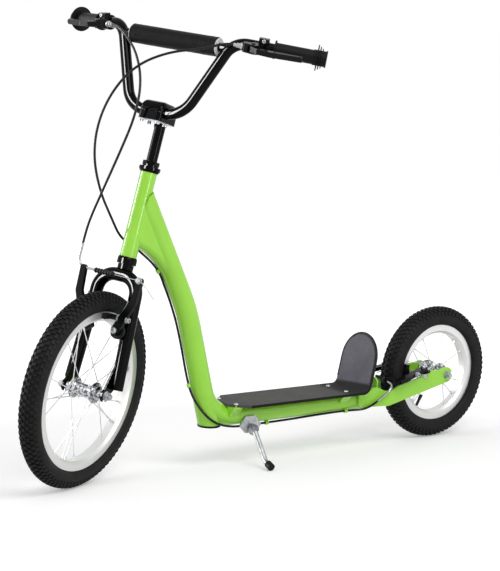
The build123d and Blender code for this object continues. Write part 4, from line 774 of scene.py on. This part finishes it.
rear_noodle_end = (rear_brake.inverted() @ upright @ (Vector((157, 10, 147)) * MM)) / MM
inner_wire("front", (232, 40, 43), "right", "left", 1.0)
inner_wire("rear", tuple(rear_noodle_end), "left", "right", 0.62)


# ---------------------------------------------------------------- cable clips
LOWER_CLIPS = [(5, (-0.93, 0.2, 0.25), 4.2), (10, (0, -0.36, 0.93), 4.5), (14, (0, -0.66, 0.75), 5.5)]


def clip_places():
    """Where the rear cable runs through its clips and which way, the way to the tube, and how far it is."""
    last = (upright.inverted() @ straight @ (Vector(HEAD_SIDE[-1]) * MM)) / MM
    above = halfway(last, BEFORE_SEAM)
    high = halfway(halfway(above, BEFORE_SEAM), halfway(BEFORE_SEAM, REAR_SEAM))
    places = [(high, Vector(REAR_SEAM) - above, (-0.87, 0.25, 0.43), 3.7)]
    # the rest stand midway between one bend of the lower cable and the next
    for bend, tube_way, reach in LOWER_CLIPS:
        a, b = REAR_LOWER[bend:bend + 2]
        places.append((halfway(a, b), Vector(b) - Vector(a), tube_way, reach))
    return places


def welded_clips():
    """Rings on short feet, welded to the big tube round the rear cable."""
    whole = bmesh.new()
    ring = [(2.75, -4), (4.1, -4), (4.6, -3.4), (4.6, 3.4), (4.1, 4), (2.75, 4)]
    for point, way, tube_way, reach in clip_places():
        foot = [(0, 3.2), (2.1, 3.2), (2.1, reach), (3.2, reach + 1.6), (0, reach + 1.6)]
        for profile, turn, steps, closed in ((ring, way, 24, True), (foot, tube_way, 12, False)):
            bm = lathed([(r * MM, h * MM) for r, h in profile], aimed(upright, point, turn), steps, closed)
            mesh = bpy.data.meshes.new("clip")
            bm.to_mesh(mesh)
            bm.free()
            whole.from_mesh(mesh)
            bpy.data.meshes.remove(mesh)
    clips = finished("welded_cable_clips", whole, FINISHES["frame_paint"], "frame")
    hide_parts("cable_clips")


welded_clips()

# ---------------------------------------------------------------- lever hardware
BAR_END, BAR_SHOULDER = Vector((-53, 291, 730)), Vector((21, 128, 722))
LEVER_PLACE = 121  # how far the lever's bracket stands from the bar's end
LEVER_DROP = math.radians(20)  # how far the levers point below the horizontal
# the lever's frame has z along the grip and x out towards the fingers
bar_way = (BAR_END - BAR_SHOULDER).normalized()
ahead_and_down = Vector((math.cos(LEVER_DROP), 0, -math.sin(LEVER_DROP)))
lever_out = (ahead_and_down - bar_way * ahead_and_down.dot(bar_way)).normalized()
lever_frame = frame_of(lever_out, bar_way.cross(lever_out), bar_way,
                       (BAR_END - bar_way * LEVER_PLACE) * MM)


def on_both_levers(name, profile, point, way, slot, steps=24, closed=False):
    """A turned part on the left lever's bracket and its mirror image on the right one."""
    for word, flip in (("left", Matrix()), ("right", Matrix.Scale(-1, 4, (0, 1, 0)))):
        spot = steered @ flip @ aimed(lever_frame, point, way)
        turned_piece(f"{word}_{name}", profile, spot, slot, "handlebar", steps, closed)


on_both_levers("clamp_bolt", [(0, 0), (3.9, 0), (3.9, 2.6), (3.4, 3.1), (2.0, 3.1), (1.8, 1.6), (0, 1.6)],
               (14.0, -14.5, 0), (1, 0, 0), "zinc")
for word, cheek in (("lower", 1), ("upper", -1)):
    on_both_levers(f"pivot_cap_{word}", [(0, 0), (3.6, 0), (3.6, 1.0), (3.0, 1.6), (0, 1.8)],
                   (28, cheek * 9.0, -18), (0, cheek, 0), "black_alloy")
on_both_levers("barrel_lock_ring", [(4.65, 0), (6.4, 0), (6.4, 3.4), (4.65, 3.4)], (24, 0, -42.4),
               (0, 0, 1), "zinc", 16, True)


# ---------------------------------------------------------------- deck trim
DECK_HALF, DECK_TOP, GUARD_TOP = 55.7, 136, 256
GUARD_CORNER = 244.66  # where the guard's rear face meets the deck's top
GUARD_LEAN = math.radians(12)
REAR_SCREW_X, FRONT_SCREW_X, SCREW_ASIDE = 287, 588, 31


def guard_edging():
    """A black bead pressed over the guard's round edge."""
    inset, depth = 0.9, 3.0

    def on_guard(y, z):
        return (GUARD_CORNER - (z - DECK_TOP) * math.tan(GUARD_LEAN) - depth, y, z)

    half, middle = DECK_HALF - inset, GUARD_TOP - DECK_HALF
    rises, steps = (16, 32, 48), 14
    line = [on_guard(half, DECK_TOP + rise) for rise in rises]
    line += [on_guard(half * math.cos(math.pi * i / steps), middle + half * math.sin(math.pi * i / steps))
             for i in range(steps + 1)]
    line += [on_guard(-half, DECK_TOP + rise) for rise in reversed(rises)]
    edging = smooth_tube("guard_edging", placed(upright, line), 3.7 * MM, FINISHES["inner_rubber"])
    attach(edging, "frame")


guard_edging()
screws = [(x, y) for x in (REAR_SCREW_X, FRONT_SCREW_X) for y in (SCREW_ASIDE, -SCREW_ASIDE)]
for number, (x, y) in enumerate(screws, 1):
    turned_piece(f"deck_bolt_{number}", [(0, 0), (5.2, 0), (4.8, 1.0), (3.4, 2.0), (1.6, 2.4), (0, 2.4)],
                 aimed(upright, (x, y, DECK_TOP), (0, 0, 1)), "zinc", "frame", 20)


# ---------------------------------------------------------------- bar pad
PAD_CENTRE, PAD_HALF = (22, 0, 707), 100


def bar_pad():
    """A foam sleeve in a wrapped nylon cover: slightly hollow and creased, gathered at its ends."""
    half, radius, bore = PAD_HALF * MM, 19.4 * MM, 8.2 * MM
    along, around = 120, 64
    seam_at, seam_wide, seam_deep = 4.1, 0.06, 0.9 * MM
    bm = bmesh.new()
    uv = bm.loops.layers.uv.new("UVMap")
    rings = []
    stations = [(half - 1.5 * MM, bore), (half, bore + 3 * MM), (half, radius - 5 * MM),
                (half - 1.5 * MM, radius - 1.4 * MM)]
    line = [(-y, r) for y, r in stations]
    line += [(-half + 3 * MM + (2 * half - 6 * MM) * i / along, radius) for i in range(along + 1)]
    line += [(y, r) for y, r in reversed(stations)]
    for y, r in line:
        ring = []
        for i in range(around):
            angle = 2 * math.pi * i / around
            p = Vector((r * math.cos(angle), y, r * math.sin(angle)))
            if r > radius - 2 * MM:
                # broad folds, narrow creases that deepen towards the gathered ends, and one seam
                near_end = max(0.0, abs(y) / half - 0.7) / 0.3
                fold = noise.noise(Vector((p.x * 60, y * 28, p.z * 60)))
                crease = noise.noise(Vector((math.cos(angle) * 2.2, y * 160, math.sin(angle) * 2.2 + 7)))
                sink = 0.5 * MM * (fold - 0.6) + 0.4 * MM * (crease - 0.5) * (0.4 + near_end)
                seam = math.exp(-((angle - seam_at) / seam_wide) ** 2)
                p *= 1 + (sink - seam_deep * seam) / r
                p.y = y
            ring.append(bm.verts.new(p))
        rings.append(ring)
    for a in range(len(rings)):
        b = (a + 1) % len(rings)
        for i in range(around):
            j = (i + 1) % around
            face = bm.faces.new((rings[a][i], rings[a][j], rings[b][j], rings[b][i]))
            for loop in face.loops:
                spot = loop.vert.co
                turn = i + (1 if loop.vert in (rings[a][j], rings[b][j]) else 0)
                loop[uv].uv = (spot.y, turn / around * 2 * math.pi * radius)
    bm.transform(steered @ Matrix.Translation(Vector(PAD_CENTRE) * MM))
    return finished("bar_pad_cover", bm, FINISHES["pad_foam"], "handlebar")


def foam_ends():
    """The bare foam at the sleeve's two ends."""
    foam = foam_core()
    profile = [(9, -2), (9, 0.6), (16.6, 0.6), (17.4, -0.4), (17.4, -2)]
    ring = [(radius * MM, height * MM) for radius, height in profile]
    for word, side in (("left", 1), ("right", -1)):
        place = aimed(steered, (PAD_CENTRE[0], side * PAD_HALF, PAD_CENTRE[2]), (0, side, 0))
        finished(f"{word}_pad_foam_end", lathed(ring, place, 48), foam, "handlebar")


foam_ends()
pad = bar_pad()
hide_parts("bar_pad")

# ---------------------------------------------------------------- floor, lights and camera
# what the seen floor adds to its lit white: a little under the scooter, where its shadow lies, and enough
# for plain white where the lamps fade
NEAR_GLOW, FAR_GLOW = 0.26, 0.62
FADE_START, FADE_END = 0.75, 1.5  # metres from the origin
FLOOR_HALF = 30
FLOOR_DROP = 0.0002  # keeps the floor from meeting the tyres' faces


def seen_directly(tree):
    """1 for the rays that show a surface itself: from the camera, a reflection or a clear body."""
    rays = add(tree, "ShaderNodeLightPath")
    seen = add(tree, "ShaderNodeMath", {"operation": "MAXIMUM"}, _0=rays.outputs["Is Camera Ray"],
               _1=rays.outputs["Is Glossy Ray"])
    through = add(tree, "ShaderNodeMath", {"operation": "MAXIMUM"}, _0=seen.outputs["Value"],
                  _1=rays.outputs["Is Transmission Ray"])
    return through.outputs["Value"]


def studio_floor():
    """A flat square of matt white paper that glows a little where it is seen."""
    mesh = bpy.data.meshes.new("floor")
    corners = [(-1, -1), (1, -1), (1, 1), (-1, 1)]
    mesh.from_pydata([(x * FLOOR_HALF, y * FLOOR_HALF, 0) for x, y in corners], [], [(0, 1, 2, 3)])
    material, tree, shader = new_material("white_studio_floor", "f0f0f0", 0.9,
                                          Emission_Color=linear("ffffff"))
    seen = seen_directly(tree)
    place = add(tree, "ShaderNodeTexCoord")
    away = add(tree, "ShaderNodeVectorMath", {"operation": "LENGTH"}, _0=place.outputs["Object"])
    fade = add(tree, "ShaderNodeMapRange", Value=away.outputs["Value"], _1=FADE_START, _2=FADE_END,
               _3=NEAR_GLOW, _4=FAR_GLOW)
    glow = add(tree, "ShaderNodeMath", {"operation": "MULTIPLY"}, _0=seen, _1=fade.outputs["Result"])
    tree.links.new(glow.outputs["Value"], shader.inputs["Emission Strength"])
    floor = to_object("floor", mesh, material)
    floor.location.z = -FLOOR_DROP


def studio_light():
    """A white surround: plain white where it is seen, dimmer as light on the scooter."""
    world = bpy.data.worlds.new("studio_light")
    bpy.context.scene.world = world
    world.use_nodes = True
    tree = world.node_tree
    tree.nodes.clear()
    seen = seen_directly(tree)
    lit = add(tree, "ShaderNodeBackground", Color=linear("ffffff"), Strength=0.55)
    shown = add(tree, "ShaderNodeBackground", Color=linear("ffffff"), Strength=1.0)
    both = add(tree, "ShaderNodeMixShader", Fac=seen, _1=lit.outputs["Background"],
               _2=shown.outputs["Background"])
    add(tree, "ShaderNodeOutputWorld", Surface=both.outputs["Shader"])


studio_floor()
studio_light()

# the round enamelled parts take stronger strips than the rest, which would show them as flat white
black_parts = bpy.data.collections.new("black_parts")
other_parts = bpy.data.collections.new("other_parts")
ROUND_BLACK = ("handlebar", "fork_blades", "fork_steerer", "headset_cups", "headset_locknut")
for obj in bpy.context.scene.objects:
    if obj.type == "MESH":
        (black_parts if obj.name in ROUND_BLACK else other_parts).objects.link(obj)


LIGHT_AIM = Vector((0, 0, 0.45))


def softbox(name, place, size, power, only_gloss=False, lit=None):
    """A rectangular lamp in metres and watts, turned to the scooter; lit limits what it falls on."""
    light = bpy.data.lights.new(name, "AREA")
    light.shape = "RECTANGLE"
    light.size, light.size_y = size
    light.energy = power
    obj = bpy.data.objects.new(name, light)
    bpy.context.scene.collection.objects.link(obj)
    obj.location = place
    obj.rotation_euler = (LIGHT_AIM - Vector(place)).to_track_quat("-Z", "Y").to_euler()
    obj.visible_diffuse = not only_gloss
    if lit:
        obj.light_linking.receiver_collection = lit


softbox("key_softbox", (0.4, 2.6, 3.2), (2.2, 1.6), 60)
softbox("fill_softbox", (3.4, -1.2, 2.0), (2.0, 2.0), 20)
# tall strips that draw the long white lines down gloss tubes, stronger for the black enamel
softbox("left_strip", (2.2, -2.1, 1.3), (0.45, 2.6), 90, only_gloss=True, lit=other_parts)
softbox("right_strip", (-0.2, 3.4, 1.3), (0.3, 2.4), 50, only_gloss=True, lit=other_parts)
softbox("enamel_strip", (3.0, 0.05, 1.3), (0.8, 2.8), 900, only_gloss=True, lit=black_parts)
softbox("enamel_rim_strip", (-0.2, 3.4, 1.3), (0.5, 2.4), 160, only_gloss=True, lit=black_parts)

# the camera in the upright frame: its place in metres, and its right, up and view directions
CAMERA_PLACE = Vector((2.52477, 2.60511, 0.85919))
right = Vector((-0.79919, 0.59920, 0.04741))
above = Vector((-0.04952, -0.14424, 0.98830))
ahead = Vector((-0.59903, -0.78750, -0.14495))
camera_data = bpy.data.cameras.new("camera")
camera_data.sensor_width = 36
camera_data.lens = 99.66
camera = bpy.data.objects.new("camera", camera_data)
bpy.context.scene.collection.objects.link(camera)
camera.matrix_world = upright @ frame_of(right, above, -ahead, CAMERA_PLACE)
bpy.context.scene.camera = camera
bpy.context.scene.view_settings.view_transform = "Standard"
